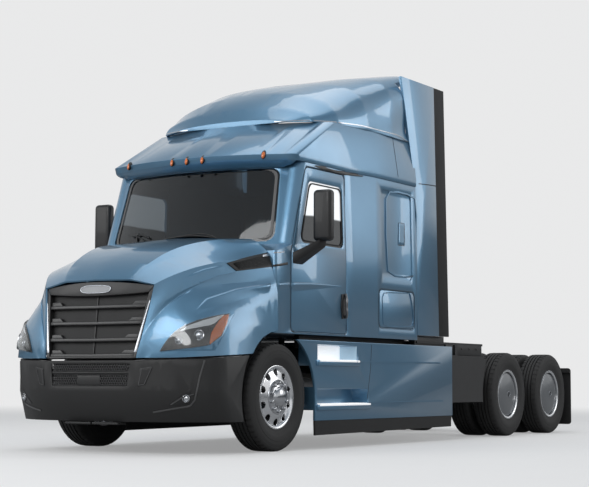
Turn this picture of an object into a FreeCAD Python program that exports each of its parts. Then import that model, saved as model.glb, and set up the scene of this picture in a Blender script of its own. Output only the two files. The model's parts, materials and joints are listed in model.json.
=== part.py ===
import FreeCAD, Part
import math
import os
import re

import Sketcher
from FreeCAD import Matrix, Placement, Rotation, Vector

# Highway tractor with a raised-roof sleeper cab, tandem drive axles and a tilting hood.
# Millimetres. The nose points to -Y, +X is the vehicle's left side, +Z is up.
# Every length along Y is measured from the front axle and moved to the middle of the
# vehicle at the end, so the origin is on the ground under the centre of the outline.

sizes = {
    # places along the vehicle
    "front_overhang": 1380, "wheelbase": 5268, "tandem_spacing": 1320, "rear_overhang": 690,
    # wheels
    "tyre_radius": 505, "tyre_width": 275, "bead_radius": 285, "flange_height": 14,
    "flange_width": 9, "steer_track": 2040, "dual_track": 1760, "dual_spacing": 330,
    "hub_bore": 45, "running_fit": 0.05, "tread_width": 200, "hub_length": 190,
    "drum_radius": 205, "cover_recess": 16, "hand_hole_radius": 27,
    "hand_hole_circle": 205, "hand_holes": 10, "disc_thickness": 22, "hub_cap_radius": 112,
    "hub_cap_height": 62,
    # steering
    "kingpin_offset": 135, "kingpin_radius": 22, "eye_radius": 48, "eye_height": 110,
    "ear_thickness": 26, "ear_gap": 0.5, "steering_arm": 190, "tie_rod_radius": 18,
    "spindle_radius": 45, "axle_beam_width": 90, "axle_beam_height": 110,
    "axle_beam_drop": 55, "ball_radius": 24, "ball_fit": 0.3,
    # chassis
    "frame_width": 864, "rail_height": 266, "rail_flange": 89, "rail_wall": 10,
    "frame_top": 1000, "frame_front": 1110, "crossmember_wall": 12, "crossmember_depth": 120,
    "fifth_hole_radius": 11, "fifth_hole_pitch": 152, "fifth_hole_rise": 100,
    "fifth_hole_setback": 420,
    "spring_width": 90, "spring_leaf": 45, "spring_length": 1300, "spring_arch": 60,
    "drive_tube_radius": 70, "drive_head_radius": 210,
    "air_spring_radius": 130, "suspension_beam_width": 90,
    "shaft_radius": 55, "engine_length": 830, "engine_height": 820,
    "engine_bottom": 690, "engine_front": 900, "gearbox_width": 430, "gearbox_height": 330,
    "gearbox_length": 860, "radiator_width": 860, "radiator_height": 490,
    "radiator_thickness": 110, "radiator_front": 1100,
    # cab and sleeper
    "cab_floor": 1105, "cab_mount_front": 640, "cab_mount_rear": 2620, "cab_mount_width": 90,
    "cab_mount_drop": 90, "cab_mount_radius": 36, "wall": 50,
    "cab_front": 0, "cab_rear": 2850, "cab_half": 1140,
    "sleeper_half": 1165, "flute_front": 1450, "flute_rear": 1900, "cowl_height": 1880,
    "sill_height": 1965, "cab_top": 2790, "screen_rake": 250, "cab_top_half": 1112,
    "sleeper_top_half": 1146, "screen_bow": 200, "cowl_bow": -30, "pillar_half": 1010,
    "pillar_set_back": 100, "rear_corner": 20, "cowl_half": 1110, "cowl_corner": 30, "cowl_front": -10,
    "screen_low": 1990, "screen_high": 2725, "screen_half_low": 975, "screen_half_high": 915,
    "glass": 8, "glass_inset": 12,
    # doors
    "door_front": 240, "door_rear": 1305, "door_bottom": 1125, "door_top": 2745,
    "door_rake": 305, "door_gap": 6, "window_bottom": 1990, "window_top": 2610,
    "window_front": 400, "window_rear": 1255, "window_rake": 200,
    "baggage_front": 1955, "baggage_rear": 2760, "baggage_bottom": 1215, "baggage_top": 1620,
    "recess_front": 2030, "recess_rear": 2715, "recess_bottom": 1745, "recess_top": 2680,
    "recess_depth": 12,
    "mirror_width": 200, "mirror_height": 480, "mirror_depth": 110, "mirror_out": 1440,
    "mirror_front": 455, "mirror_bottom": 2020, "mirror_arm_radius": 26,
    # roof
    "visor_bottom": 2730, "visor_front": 200, "visor_rear": 395, "cap_front": 105, "cap_brow": 2850,
    "cap_top": 3270, "cap_top_front": 860, "cap_top_half": 1085, "cap_bow": 210,
    "cap_wall": 40, "cap_overhang": 8,
    "fairing_front": 880, "fairing_top": 4065, "fairing_half": 1140,
    "fairing_wall": 30,
    "extender_front": 2831, "extender_front_cap": 2726, "extender_front_top": 2535,
    "extender_rear": 3614, "extender_rear_top": 3580, "extender_bottom": 1160,
    "extender_knee": 3180, "extender_top": 3975, "extender_wall": 32, "extender_trim": 255,
    "extender_half": 1169, "extender_half_top": 1130,
    # side fairings
    "skirt_front": 585, "skirt_rear": 3630, "skirt_bottom": 275, "skirt_top": 1050,
    "skirt_half": 1200, "skirt_wall": 30, "rubber_bottom": 135, "arch_radius": 600,
    "step_depth": 190, "step_thickness": 55, "lower_step": 430, "upper_step": 860,
    "lower_step_rear": 1664, "upper_step_rear": 1444, "step_proud": 26, "step_opening": 150,
    "step_wall": 20,
    "tank_radius": 300, "tank_front": 1780, "tank_rear": 3450, "tank_centre_height": 690,
    "tank_offset": 800,
    "quarter_rear": 4560, "quarter_bottom": 420, "quarter_top": 930, "quarter_half": 1165,
    "quarter_wall": 25, "deck_top": 1100, "deck_thickness": 25, "deck_half": 1120,
    "flap_width": 610, "flap_bottom": 100, "flap_top": 840, "flap_thickness": 12,
    # hood
    "hood_wall": 15, "hood_pivot_front": 1278, "hood_pivot_height": 1000,
    "hood_pin_radius": 8, "hood_eye_radius": 14, "hood_arm_x": 556, "hood_arm_width": 16,
    "hood_arm_reach": 54, "hood_lug_width": 30, "seal_width": 25, "seal_depth": 10,
    "hood_arch": 620, "hood_length": 1240, "hood_half": 1165, "hood_crown": 2030,
    "grille_half_top": 616, "grille_half_bottom": 516, "grille_bottom": 852,
    "grille_top": 1500, "grille_crown": 1548, "grille_front": 1366, "grille_front_top": 1285,
    "grille_depth": 90, "grille_border": 46, "blade_count": 5, "blade_height": 34,
    "blade_depth": 50, "divider_width": 26, "shutter_set_back": 78, "grille_foot_depth": 60,
    "lamp_bottom": 915, "lamp_rear": 700,
    # bumper
    "bumper_top": 830, "bumper_rear_top": 886, "bumper_bottom": 290, "bumper_wall": 25,
    "bumper_half": 1165, "bumper_rear": 560, "bumper_undercut": 90,
    "mesh_half_top": 450, "mesh_half_bottom": 425, "mesh_top": 805, "mesh_bottom": 600,
    "mesh_bars": 4,
    # cab inside
    "seat_width": 520, "seat_depth": 520, "seat_height": 1620, "seat_cushion": 160, "seat_offset": 620,
    "seat_back_height": 2180, "seat_back": 1180, "seat_back_thickness": 130,
    "dash_depth": 420, "dash_height": 1880, "dash_bottom": 1480, "bunk_depth": 1000,
    "bunk_height": 1840, "bunk_thickness": 150, "steering_wheel_radius": 225,
    "steering_rim": 16,
    # clearances
    "clear_gap": 6, "seat_clear": 0.3,
}

doc = FreeCAD.newDocument("TractorUnit")
sheet = doc.addObject("Spreadsheet::Sheet", "Sizes")
for row, (alias, amount) in enumerate(sizes.items(), start=1):
    sheet.set("A%d" % row, alias)
    sheet.set("B%d" % row, str(amount))
    sheet.setAlias("B%d" % row, alias)
doc.recompute()


def size(alias):
    return float(sheet.get(alias))


def linked(formula):
    # Puts the sheet's name before each alias in a formula.
    return re.sub(r"[a-z][a-z_]+", lambda word: "Sizes." + word[0] if word[0] in sizes else word[0],
                  str(formula))


axle_station = "((front_overhang - wheelbase - tandem_spacing - rear_overhang) / 2)"
first_drive = size("wheelbase")
second_drive = size("wheelbase") + size("tandem_spacing")
rear_end = second_drive + size("rear_overhang")
kept = []


def keep(piece, label, station=axle_station):
    # Names a finished sub-part and moves it from the front axle to the vehicle's own origin.
    piece.Label = label
    if station:
        piece.setExpression(".Placement.Base.y", linked(station))
    kept.append(piece)
    return piece


def keep_shape(label, shape):
    piece = doc.addObject("Part::Feature", label)
    piece.Shape = shape
    return keep(piece, label)


def other_side(source, label):
    # The right-hand piece is the left one mirrored in the middle plane.
    piece = doc.addObject("Part::Mirroring", label)
    piece.Source = source
    piece.Base = Vector(0, 0, 0)
    piece.Normal = Vector(1, 0, 0)
    return keep(piece, label, station=None)


def box(name, low, high):
    piece = doc.addObject("Part::Box", name)
    for side, start, end in zip(("Length", "Width", "Height"), low, high):
        piece.setExpression(side, linked("(%s) - (%s)" % (end, start)))
    for axis, start in zip("xyz", low):
        piece.setExpression(".Placement.Base." + axis, linked(start))
    return piece


turns = {"x": Rotation(Vector(0, 1, 0), 90), "y": Rotation(Vector(1, 0, 0), -90), "z": Rotation()}


def cylinder(name, along, start, radius, length):
    piece = doc.addObject("Part::Cylinder", name)
    piece.Placement = Placement(Vector(), turns[along])
    piece.setExpression("Radius", linked(radius))
    piece.setExpression("Height", linked(length))
    for axis, place in zip("xyz", start):
        piece.setExpression(".Placement.Base." + axis, linked(place))
    return piece


def joined(name, pieces):
    piece = doc.addObject("Part::MultiFuse", name)
    piece.Shapes = pieces
    return piece


def less(name, base, tool):
    piece = doc.addObject("Part::Cut", name)
    piece.Base = base
    piece.Tool = tool
    return piece


def sketch_on(body, role, corners, offset="0"):
    # A closed outline of straight lines whose corners are all tied to the sheet.
    plane = [feature for feature in body.Origin.OriginFeatures if feature.Role == role][0]
    sketch = body.newObject("Sketcher::SketchObject", body.Name + "Outline")
    sketch.AttachmentSupport = [(plane, "")]
    sketch.MapMode = "FlatFace"
    sketch.setExpression(".AttachmentOffset.Base.z", linked(offset))
    count = len(corners)
    ring = [Vector(1000 * math.cos(2 * math.pi * i / count), 1000 * math.sin(2 * math.pi * i / count), 0)
            for i in range(count)]
    for i in range(count):
        sketch.addGeometry(Part.LineSegment(ring[i], ring[(i + 1) % count]))
    for i, place in enumerate(corners):
        sketch.addConstraint(Sketcher.Constraint("Coincident", i, 2, (i + 1) % count, 1))
        for direction, formula, start in zip(("DistanceX", "DistanceY"), place, ring[i]):
            number = sketch.addConstraint(Sketcher.Constraint(direction, -1, 1, i, 1, start))
            sketch.setExpression("Constraints[%d]" % number, linked(formula))
    return sketch


def padded(label, role, corners, length, offset="0", reverse=False):
    body = doc.addObject("PartDesign::Body", label)
    sketch = sketch_on(body, role, corners, offset)
    pad = body.newObject("PartDesign::Pad", label + "Pad")
    pad.Profile = sketch
    pad.setExpression("Length", linked(length))
    pad.Reversed = reverse
    return body


def flat_wire(points):
    return Part.makePolygon(points + points[:1])


def prism(points, direction):
    return Part.Face(flat_wire(points)).extrude(direction)


def rounded_prism(points, direction, radius):
    # Prism of a side outline whose corners along the direction are rounded.
    solid = prism(points, direction)
    along = Vector(direction).normalize()
    edges = [edge for edge in solid.Edges if abs(edge.tangentAt(edge.FirstParameter).dot(along)) > 0.999]
    return solid.makeFillet(radius, edges)


def side_points(outline, x):
    return [Vector(x, y, z) for y, z in outline]


# Tyres and wheels: flat-sided rings, so that ten tyres stay light.
wheel_sides = 28


def turned(profile, sides=wheel_sides):
    # Ring around the X axis from a closed profile of (x, radius); a flat faces the ground.
    stretch = 1 / math.cos(math.pi / sides)
    rings = []
    for x, radius in profile:
        rings.append([Vector(x, radius * stretch * math.sin(2 * math.pi * (k + 0.5) / sides),
                             radius * stretch * math.cos(2 * math.pi * (k + 0.5) / sides))
                      for k in range(sides)])
    faces = []
    for here, after in zip(rings, rings[1:] + rings[:1]):
        if profile[rings.index(here)][1] == 0 and profile[rings.index(after)][1] == 0:
            continue
        for k in range(sides):
            corners = [here[k], here[k - 1], after[k - 1], after[k]]
            distinct = [p for i, p in enumerate(corners) if p.distanceToPoint(corners[i - 1]) > 1e-6]
            faces.append(Part.Face(flat_wire(distinct)))
    solid = Part.Solid(Part.makeShell(faces))
    if solid.Volume < 0:
        solid.reverse()
    return solid


def tyre():
    half = size("tyre_width") / 2
    tread = size("tread_width") / 2
    seat = size("bead_radius")
    seat_half = half - 28
    flange = seat + size("flange_height")
    shoulder = size("tyre_radius") - 22
    middle = (size("tyre_radius") + seat) / 2
    profile = [(-seat_half, seat), (-seat_half, flange), (-half, middle), (-half + 6, shoulder),
               (-tread, size("tyre_radius")), (tread, size("tyre_radius")), (half - 6, shoulder),
               (half, middle), (seat_half, flange), (seat_half, seat)]
    return turned(profile)


def rim_profile():
    # Barrel with two flanges.
    seat = size("bead_radius")
    seat_half = size("tyre_width") / 2 - 28
    flange = seat + size("flange_height")
    edge = seat_half + size("flange_width")
    barrel = seat - 14
    return [(-edge, barrel), (-edge, flange), (-seat_half, flange), (-seat_half, seat),
            (seat_half, seat), (seat_half, flange), (edge, flange), (edge, barrel)]


def bored(solid, radius, start, length):
    return solid.cut(Part.makeCylinder(radius, length, Vector(start, 0, 0), Vector(1, 0, 0)))


def steer_wheel():
    rim = turned(rim_profile())
    seat_half = size("tyre_width") / 2 - 28
    barrel = size("bead_radius") - 14
    disc_front = seat_half - 22
    disc_back = disc_front - size("disc_thickness")
    cap = size("hub_cap_radius")
    cap_front = disc_front + size("hub_cap_height")
    hub_back = cap_front - size("hub_length")
    drum = size("drum_radius")
    drum_back = -seat_half + 10
    disc = [(disc_back, barrel), (disc_front, barrel), (disc_front - 26, cap + 62), (disc_front, cap + 20),
            (disc_front, cap), (cap_front - 18, cap - 14), (cap_front, cap - 45), (cap_front, 0),
            (hub_back, 0), (hub_back, cap), (disc_back - 24, cap), (disc_back - 26, cap + 62)]
    body = turned(disc)
    hole = size("hand_hole_circle")
    for k in range(int(size("hand_holes"))):
        angle = 2 * math.pi * (k + 0.5) / size("hand_holes")
        start = Vector(disc_back - 60, hole * math.sin(angle), hole * math.cos(angle))
        flats = [start + Vector(0, size("hand_hole_radius") * math.cos(math.pi * n / 4),
                                size("hand_hole_radius") * math.sin(math.pi * n / 4)) for n in range(8)]
        body = body.cut(prism(flats, Vector(140, 0, 0)))
    drum_ring = turned([(drum_back, drum), (disc_back - 30, drum), (disc_back - 30, cap - 20),
                        (disc_back - 50, cap - 20), (disc_back - 50, drum - 14), (drum_back, drum - 14)])
    body = body.fuse([rim, drum_ring])
    depth = cap_front - 40 - hub_back
    return bored(body, size("hub_bore") + size("running_fit"), hub_back - 1, depth + 1)


def dual_wheel():
    # Both rims of a pair on one hub, with a smooth cover over the outer one.
    half = size("dual_spacing") / 2
    seat_half = size("tyre_width") / 2 - 28
    edge = seat_half + size("flange_width")
    barrel = size("bead_radius") - 14
    cover_front = half + edge - size("cover_recess")
    cover_back = cover_front - 8
    cap = size("hub_cap_radius")
    drum = size("drum_radius")
    back = -half - edge
    rims = []
    for centre in (-half, half):
        rims.append(turned([(x + centre, radius) for x, radius in rim_profile()]))
    join = half - edge + 14
    web = turned([(-join, barrel), (join, barrel), (14, barrel - 60), (14, cap), (cover_back, cap),
                  (cover_back, barrel), (cover_front, barrel), (cover_front - 2, 60), (cover_front + 6, 40),
                  (cover_front + 6, 0), (back + 20, 0), (back + 20, cap), (-14, cap), (-14, barrel - 60)])
    drum_ring = turned([(back + 6, drum), (-13, drum), (-13, cap - 20), (-40, cap - 20), (-40, drum - 14),
                        (back + 6, drum - 14)])
    body = web.fuse(rims + [drum_ring])
    return bored(body, size("hub_bore") + size("running_fit"), back - 1, half - back - 40)


steer_x = size("steer_track") / 2
dual_x = size("dual_track") / 2
wheel_up = size("tyre_radius")


def moved(shape, x, y, z):
    shift = Matrix()
    shift.move(Vector(x, y, z))
    return shape.transformed(shift, copy=True)


wheel_places = {"front_left": (steer_x, 0), "middle_left": (dual_x, first_drive),
                "rear_left": (dual_x, second_drive)}
one_tyre = tyre()
one_steer = steer_wheel()
one_dual = dual_wheel()
for corner, (x, y) in wheel_places.items():
    if corner == "front_left":
        rubber = moved(one_tyre, x, y, wheel_up)
        metal = moved(one_steer, x, y, wheel_up)
    else:
        half = size("dual_spacing") / 2
        rubber = Part.makeCompound([moved(one_tyre, x - half, y, wheel_up),
                                    moved(one_tyre, x + half, y, wheel_up)])
        metal = moved(one_dual, x, y, wheel_up)
    left_tyre = keep_shape("tyre_" + corner, rubber)
    left_wheel = keep_shape("wheel_" + corner, metal)
    other_side(left_tyre, "tyre_" + corner.replace("left", "right"))
    other_side(left_wheel, "wheel_" + corner.replace("left", "right"))


# Steering: axle beam with kingpin eyes, knuckles with spindle and arm, tie rod.
kingpin = "(steer_track / 2 - kingpin_offset)"
kingpin_x = size("steer_track") / 2 - size("kingpin_offset")
steer_hub_back = (steer_x + size("tyre_width") / 2 - 50 + size("hub_cap_height") - size("hub_length"))


def front_axle():
    beam_low = wheel_up - size("axle_beam_drop") - size("axle_beam_height")
    beam_high = wheel_up - size("axle_beam_drop")
    half_depth = size("axle_beam_width") / 2
    web = half_depth - 32
    flange = 22
    i_section = [(-half_depth, beam_low), (half_depth, beam_low), (half_depth, beam_low + flange),
                 (half_depth - web, beam_low + flange), (half_depth - web, beam_high - flange),
                 (half_depth, beam_high - flange), (half_depth, beam_high), (-half_depth, beam_high),
                 (-half_depth, beam_high - flange), (web - half_depth, beam_high - flange),
                 (web - half_depth, beam_low + flange), (-half_depth, beam_low + flange)]
    reach = kingpin_x - 170
    beam = prism(side_points(i_section, -reach), Vector(2 * reach, 0, 0))
    parts = []
    eye_low = wheel_up - size("eye_height") / 2
    for side in (-1, 1):
        neck = [Vector(side * (reach - 1), 0, beam_low + flange), Vector(side * (reach - 1), 0, beam_high),
                Vector(side * (kingpin_x - 20), 0, wheel_up + 40),
                Vector(side * (kingpin_x - 20), 0, wheel_up - 45),
                Vector(side * (kingpin_x - 60), 0, wheel_up - 45)]
        parts.append(moved(prism(neck, Vector(0, 60, 0)), 0, -30, 0))
        parts.append(Part.makeCylinder(size("eye_radius"), size("eye_height"),
                                       Vector(side * kingpin_x, 0, eye_low)))
    axle = beam.fuse(parts)
    for side in (-1, 1):
        axle = axle.cut(Part.makeCylinder(size("kingpin_radius") + size("running_fit"), 400,
                                          Vector(side * kingpin_x, 0, wheel_up - 200)))
    return axle


def knuckle():
    eye_half = size("eye_height") / 2
    ear_low = wheel_up - eye_half - size("ear_gap") - size("ear_thickness")
    ear_high = wheel_up + eye_half + size("ear_gap")
    face = kingpin_x + size("eye_radius") + 4
    pin = Part.makeCylinder(size("kingpin_radius"), ear_high - ear_low + size("ear_thickness"),
                            Vector(kingpin_x, 0, ear_low))
    ears = []
    for low in (ear_low, ear_high):
        ears.append(Part.makeCylinder(size("eye_radius"), size("ear_thickness"), Vector(kingpin_x, 0, low)))
        ears.append(Part.makeBox(face - kingpin_x + 10, 80, size("ear_thickness"),
                                 Vector(kingpin_x, -40, low)))
    yoke = Part.makeBox(18, 100, ear_high + size("ear_thickness") - ear_low, Vector(face, -50, ear_low))
    spindle_end = steer_x + size("tyre_width") / 2 - 50 - 40
    spindle = Part.makeCylinder(size("spindle_radius"), spindle_end - face, Vector(face, 0, wheel_up),
                                Vector(1, 0, 0))
    arm_low = ear_low
    arm = Part.makeBox(60, size("steering_arm") + 28, size("ear_thickness"),
                       Vector(kingpin_x - 30, 0, arm_low))
    ball = Part.makeCylinder(size("tie_rod_radius") - 4, 60,
                             Vector(kingpin_x, size("steering_arm"), arm_low - 50))
    return pin.fuse(ears + [yoke, spindle, arm, ball])


def tie_rod():
    eye_half = size("eye_height") / 2
    level = wheel_up - eye_half - size("ear_gap") - size("ear_thickness") - 30
    reach = kingpin_x - size("ball_radius") + 4
    rod = Part.makeCylinder(size("tie_rod_radius"), 2 * reach, Vector(-reach, size("steering_arm"), level),
                            Vector(1, 0, 0))
    ends = []
    for side in (-1, 1):
        ends.append(Part.makeCylinder(size("ball_radius") + 8, 40,
                                      Vector(side * kingpin_x, size("steering_arm"), level - 20)))
    rod = rod.fuse(ends)
    for side in (-1, 1):
        rod = rod.cut(Part.makeCylinder(size("tie_rod_radius") - 4 + size("ball_fit"), 100,
                                        Vector(side * kingpin_x, size("steering_arm"), level - 50)))
    return rod


keep_shape("front_axle", front_axle())
left_knuckle = keep_shape("knuckle_left", knuckle())
other_side(left_knuckle, "knuckle_right")
keep_shape("tie_rod", tie_rod())


# Chassis: two channel rails with crossmembers.
rail_inner = "(frame_width / 2 - rail_flange)"
rail_length = "(frame_front + wheelbase + tandem_spacing + rear_overhang - 20)"
c_section = [("frame_width / 2", "frame_top"), (rail_inner, "frame_top"),
             (rail_inner, "frame_top - rail_wall"),
             ("frame_width / 2 - rail_wall", "frame_top - rail_wall"),
             ("frame_width / 2 - rail_wall", "frame_top - rail_height + rail_wall"),
             (rail_inner, "frame_top - rail_height + rail_wall"),
             (rail_inner, "frame_top - rail_height"), ("frame_width / 2", "frame_top - rail_height")]
left_rail = padded("RailLeft", "XZ_Plane", c_section, rail_length, offset="frame_front", reverse=True)
right_rail = doc.addObject("Part::Mirroring", "RailRight")
right_rail.Source = left_rail
right_rail.Normal = Vector(1, 0, 0)
members = []
member_stations = ["-frame_front + 60", "2000", "3300", "wheelbase - 500",
                   "wheelbase + tandem_spacing / 2", "wheelbase + tandem_spacing + rear_overhang - 120"]
for number, station in enumerate(member_stations):
    members.append(box("Member%d" % number,
                       ("-(frame_width / 2 - rail_wall)", station,
                        "frame_top - rail_wall - crossmember_depth"),
                       ("frame_width / 2 - rail_wall", "(%s) + crossmember_wall" % station,
                        "frame_top - rail_wall")))
fifth_holes = []
for row in range(4):
    fifth_holes.append(cylinder("RailHole%d" % row, "x",
                                ("-frame_width",
                                 "wheelbase - fifth_hole_setback + %d * fifth_hole_pitch" % (row // 2),
                                 "frame_top - rail_height / 2 + %d * fifth_hole_rise / 2"
                                 % (2 * (row % 2) - 1)),
                                "fifth_hole_radius", "frame_width * 2"))
lug_start = "(hood_arm_x + hood_arm_width + ear_gap)"
lug_end = "(hood_arm_x + hood_arm_width + ear_gap + hood_lug_width)"
lug_low = "(hood_pivot_height - hood_pin_radius)"
hinge_pieces = [box("HoodLug", (lug_start, "-hood_pivot_front", lug_low),
                    (lug_end, "-frame_front + 70", "hood_pivot_height + 30")),
                box("HoodCross", ("frame_width / 2", "-frame_front + 10", "hood_pivot_height - 60"),
                    (lug_end, "-frame_front + 70", "hood_pivot_height + 30")),
                cylinder("HoodBoss", "x", (lug_start, "-hood_pivot_front", "hood_pivot_height"),
                         "hood_eye_radius", "hood_lug_width"),
                cylinder("HoodPin", "x", ("hood_arm_x", "-hood_pivot_front", "hood_pivot_height"),
                         "hood_pin_radius", lug_end + " - hood_arm_x")]
left_hinge = joined("HoodHingeLeft", hinge_pieces)
right_hinge = doc.addObject("Part::Mirroring", "HoodHingeRight")
right_hinge.Source = left_hinge
right_hinge.Normal = Vector(1, 0, 0)
# Four brackets outside the rails carry the cab floor on isolators.
cab_mounts = []
for number, place in enumerate(("cab_mount_front", "cab_mount_rear")):
    shelf = box("CabShelf%d" % number, ("frame_width / 2", place, "frame_top - cab_mount_drop"),
                ("frame_width / 2 + cab_mount_width", place + " + cab_mount_width", "frame_top"))
    isolator = cylinder("CabIsolator%d" % number, "z",
                        ("frame_width / 2 + cab_mount_width / 2", place + " + cab_mount_width / 2",
                         "frame_top"),
                        "cab_mount_radius", "cab_floor - frame_top")
    left_mount = joined("CabMountLeft%d" % number, [shelf, isolator])
    right_mount = doc.addObject("Part::Mirroring", "CabMountRight%d" % number)
    right_mount.Source = left_mount
    right_mount.Normal = Vector(1, 0, 0)
    cab_mounts += [left_mount, right_mount]
mounts = doc.addObject("Part::Compound", "CabMounts")
mounts.Links = cab_mounts
keep(mounts, "cab_mounts")
chassis = less("Chassis", joined("ChassisWeld", [left_rail, right_rail, left_hinge, right_hinge] + members),
               joined("RailHoles", fifth_holes))
keep(chassis, "chassis_frame")


def leaf_spring(x):
    # One pack of leaves as a shallow arc under the rail, seated on the axle beam.
    seat = wheel_up - size("axle_beam_drop")
    half = size("spring_length") / 2
    low = [Vector(x, -half, seat + size("spring_arch")), Vector(x, 0, seat),
           Vector(x, half, seat + size("spring_arch"))]
    up = Vector(0, 0, size("spring_leaf"))
    wire = Part.Wire([Part.Arc(low[0], low[1], low[2]).toShape(),
                      Part.LineSegment(low[2], low[2] + up).toShape(),
                      Part.Arc(low[2] + up, low[1] + up, low[0] + up).toShape(),
                      Part.LineSegment(low[0] + up, low[0]).toShape()])
    leaf = Part.Face(wire).extrude(Vector(size("spring_width"), 0, 0))
    hangers = []
    hanger_low = seat + size("spring_arch") + size("spring_leaf")
    hanger_height = size("frame_top") - size("rail_height") - hanger_low + 8
    for y in (-half, half - 60):
        hangers.append(Part.makeBox(size("spring_width"), 60, hanger_height, Vector(x, y, hanger_low - 8)))
    return leaf.fuse(hangers)


spring_x = size("frame_width") / 2 - size("spring_width")
keep_shape("front_springs", Part.makeCompound([leaf_spring(spring_x),
                                               leaf_spring(-spring_x - size("spring_width"))]))

dual_hub_back = dual_x - size("dual_spacing") / 2 - (size("tyre_width") / 2 - 28 + size("flange_width")) + 20
spindle_reach = dual_x - 45
drive_nose = size("drive_head_radius") + 140
drive_tail = size("drive_head_radius") + 50


def drive_axle(y, tail):
    head = size("drive_head_radius")
    tube_end = dual_hub_back - 6
    tube = Part.makeCylinder(size("drive_tube_radius"), 2 * tube_end, Vector(-tube_end, y, wheel_up),
                             Vector(1, 0, 0))
    spindle = Part.makeCylinder(size("spindle_radius"), 2 * spindle_reach,
                                Vector(-spindle_reach, y, wheel_up), Vector(1, 0, 0))
    bowl = Part.makeCylinder(head, 130, Vector(-65, y, wheel_up), Vector(1, 0, 0))
    shoulders = [Part.makeCone(head - 10, size("drive_tube_radius"), 150, Vector(side * 65, y, wheel_up),
                               Vector(side, 0, 0)) for side in (-1, 1)]
    nose = Part.makeCone(120, 70, 200, Vector(0, y - drive_nose + 200, wheel_up), Vector(0, -1, 0))
    parts = [spindle, bowl, nose] + shoulders
    if tail:
        parts.append(Part.makeCylinder(size("shaft_radius") + 12, drive_tail, Vector(0, y, wheel_up),
                                       Vector(0, 1, 0)))
    return tube.fuse(parts)


keep_shape("drive_axles", Part.makeCompound([drive_axle(first_drive, True),
                                             drive_axle(second_drive, False)]))


def suspension_side(y, x):
    # Trailing beam under the tube with an air spring between its end and the rail.
    width = size("suspension_beam_width")
    under = wheel_up - size("drive_tube_radius")
    rail_low = size("frame_top") - size("rail_height")
    beam = Part.makeBox(width, 760, 70, Vector(x, y - 430, under - 70))
    hanger = Part.makeBox(width, 90, rail_low - under + 35, Vector(x, y - 430, under - 35))
    bag_low = under
    bag = Part.makeCylinder(size("air_spring_radius") - 20, rail_low - bag_low,
                            Vector(x + width / 2, y + 205, bag_low))
    return beam.fuse([hanger, bag])


beam_x = size("frame_width") / 2 - size("suspension_beam_width")
arms = []
for station in (first_drive, second_drive):
    for x in (beam_x, -beam_x - size("suspension_beam_width")):
        arms.append(suspension_side(station, x))
keep_shape("rear_suspension", Part.makeCompound(arms))


def drive_shafts():
    # A sloping shaft between two yoke flanges, and a short one between the axles.
    gearbox_end = -size("engine_front") + size("engine_length") + size("gearbox_length")
    gearbox_mid = size("cab_floor") - 40 - size("gearbox_height") / 2
    yoke = 70
    along = Vector(0, 1, 0)
    start = Vector(0, gearbox_end, gearbox_mid)
    finish = Vector(0, first_drive - drive_nose, wheel_up)
    flanges = [Part.makeCylinder(size("shaft_radius") + 12, yoke, start, along),
               Part.makeCylinder(size("shaft_radius") + 12, yoke, finish - along * yoke, along)]
    first = start + along * yoke / 2
    run = finish - along * yoke / 2 - first
    long_shaft = Part.makeCylinder(size("shaft_radius"), run.Length, first, run).fuse(flanges)
    between = Part.makeCylinder(size("shaft_radius"), size("tandem_spacing") - drive_nose - drive_tail,
                                Vector(0, first_drive + drive_tail, wheel_up), along)
    return Part.makeCompound([long_shaft, between])


engine_rear = "(engine_length - engine_front)"
engine_half = "(frame_width / 2 - rail_flange - clear_gap)"
engine = box("Engine", ("-" + engine_half, "-engine_front", "engine_bottom"),
             (engine_half, engine_rear, "engine_bottom + engine_height"))
gearbox = box("Gearbox", ("-gearbox_width / 2", engine_rear, "cab_floor - 40 - gearbox_height"),
              ("gearbox_width / 2", engine_rear + " + gearbox_length", "cab_floor - 40"))
keep(joined("EngineBlock", [engine, gearbox]), "engine_block")
radiator_low = "(frame_top + 2 * clear_gap)"
radiator_back = "(radiator_thickness - radiator_front)"
keep(joined("Radiator", [box("RadiatorCore", ("-radiator_width / 2", "-radiator_front", radiator_low),
                             ("radiator_width / 2", radiator_back, "frame_top + radiator_height")),
                         box("RadiatorFoot",
                             ("-frame_width / 4", "-radiator_front", "frame_top - rail_wall"),
                             ("frame_width / 4", radiator_back, radiator_low)),
                         box("FanShroud", ("60 - radiator_width / 2", radiator_back, "frame_top + 60"),
                             ("radiator_width / 2 - 60", radiator_back + " + 90",
                              "frame_top + radiator_height - 60"))]), "radiator")
keep_shape("drive_shaft", drive_shafts())


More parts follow.
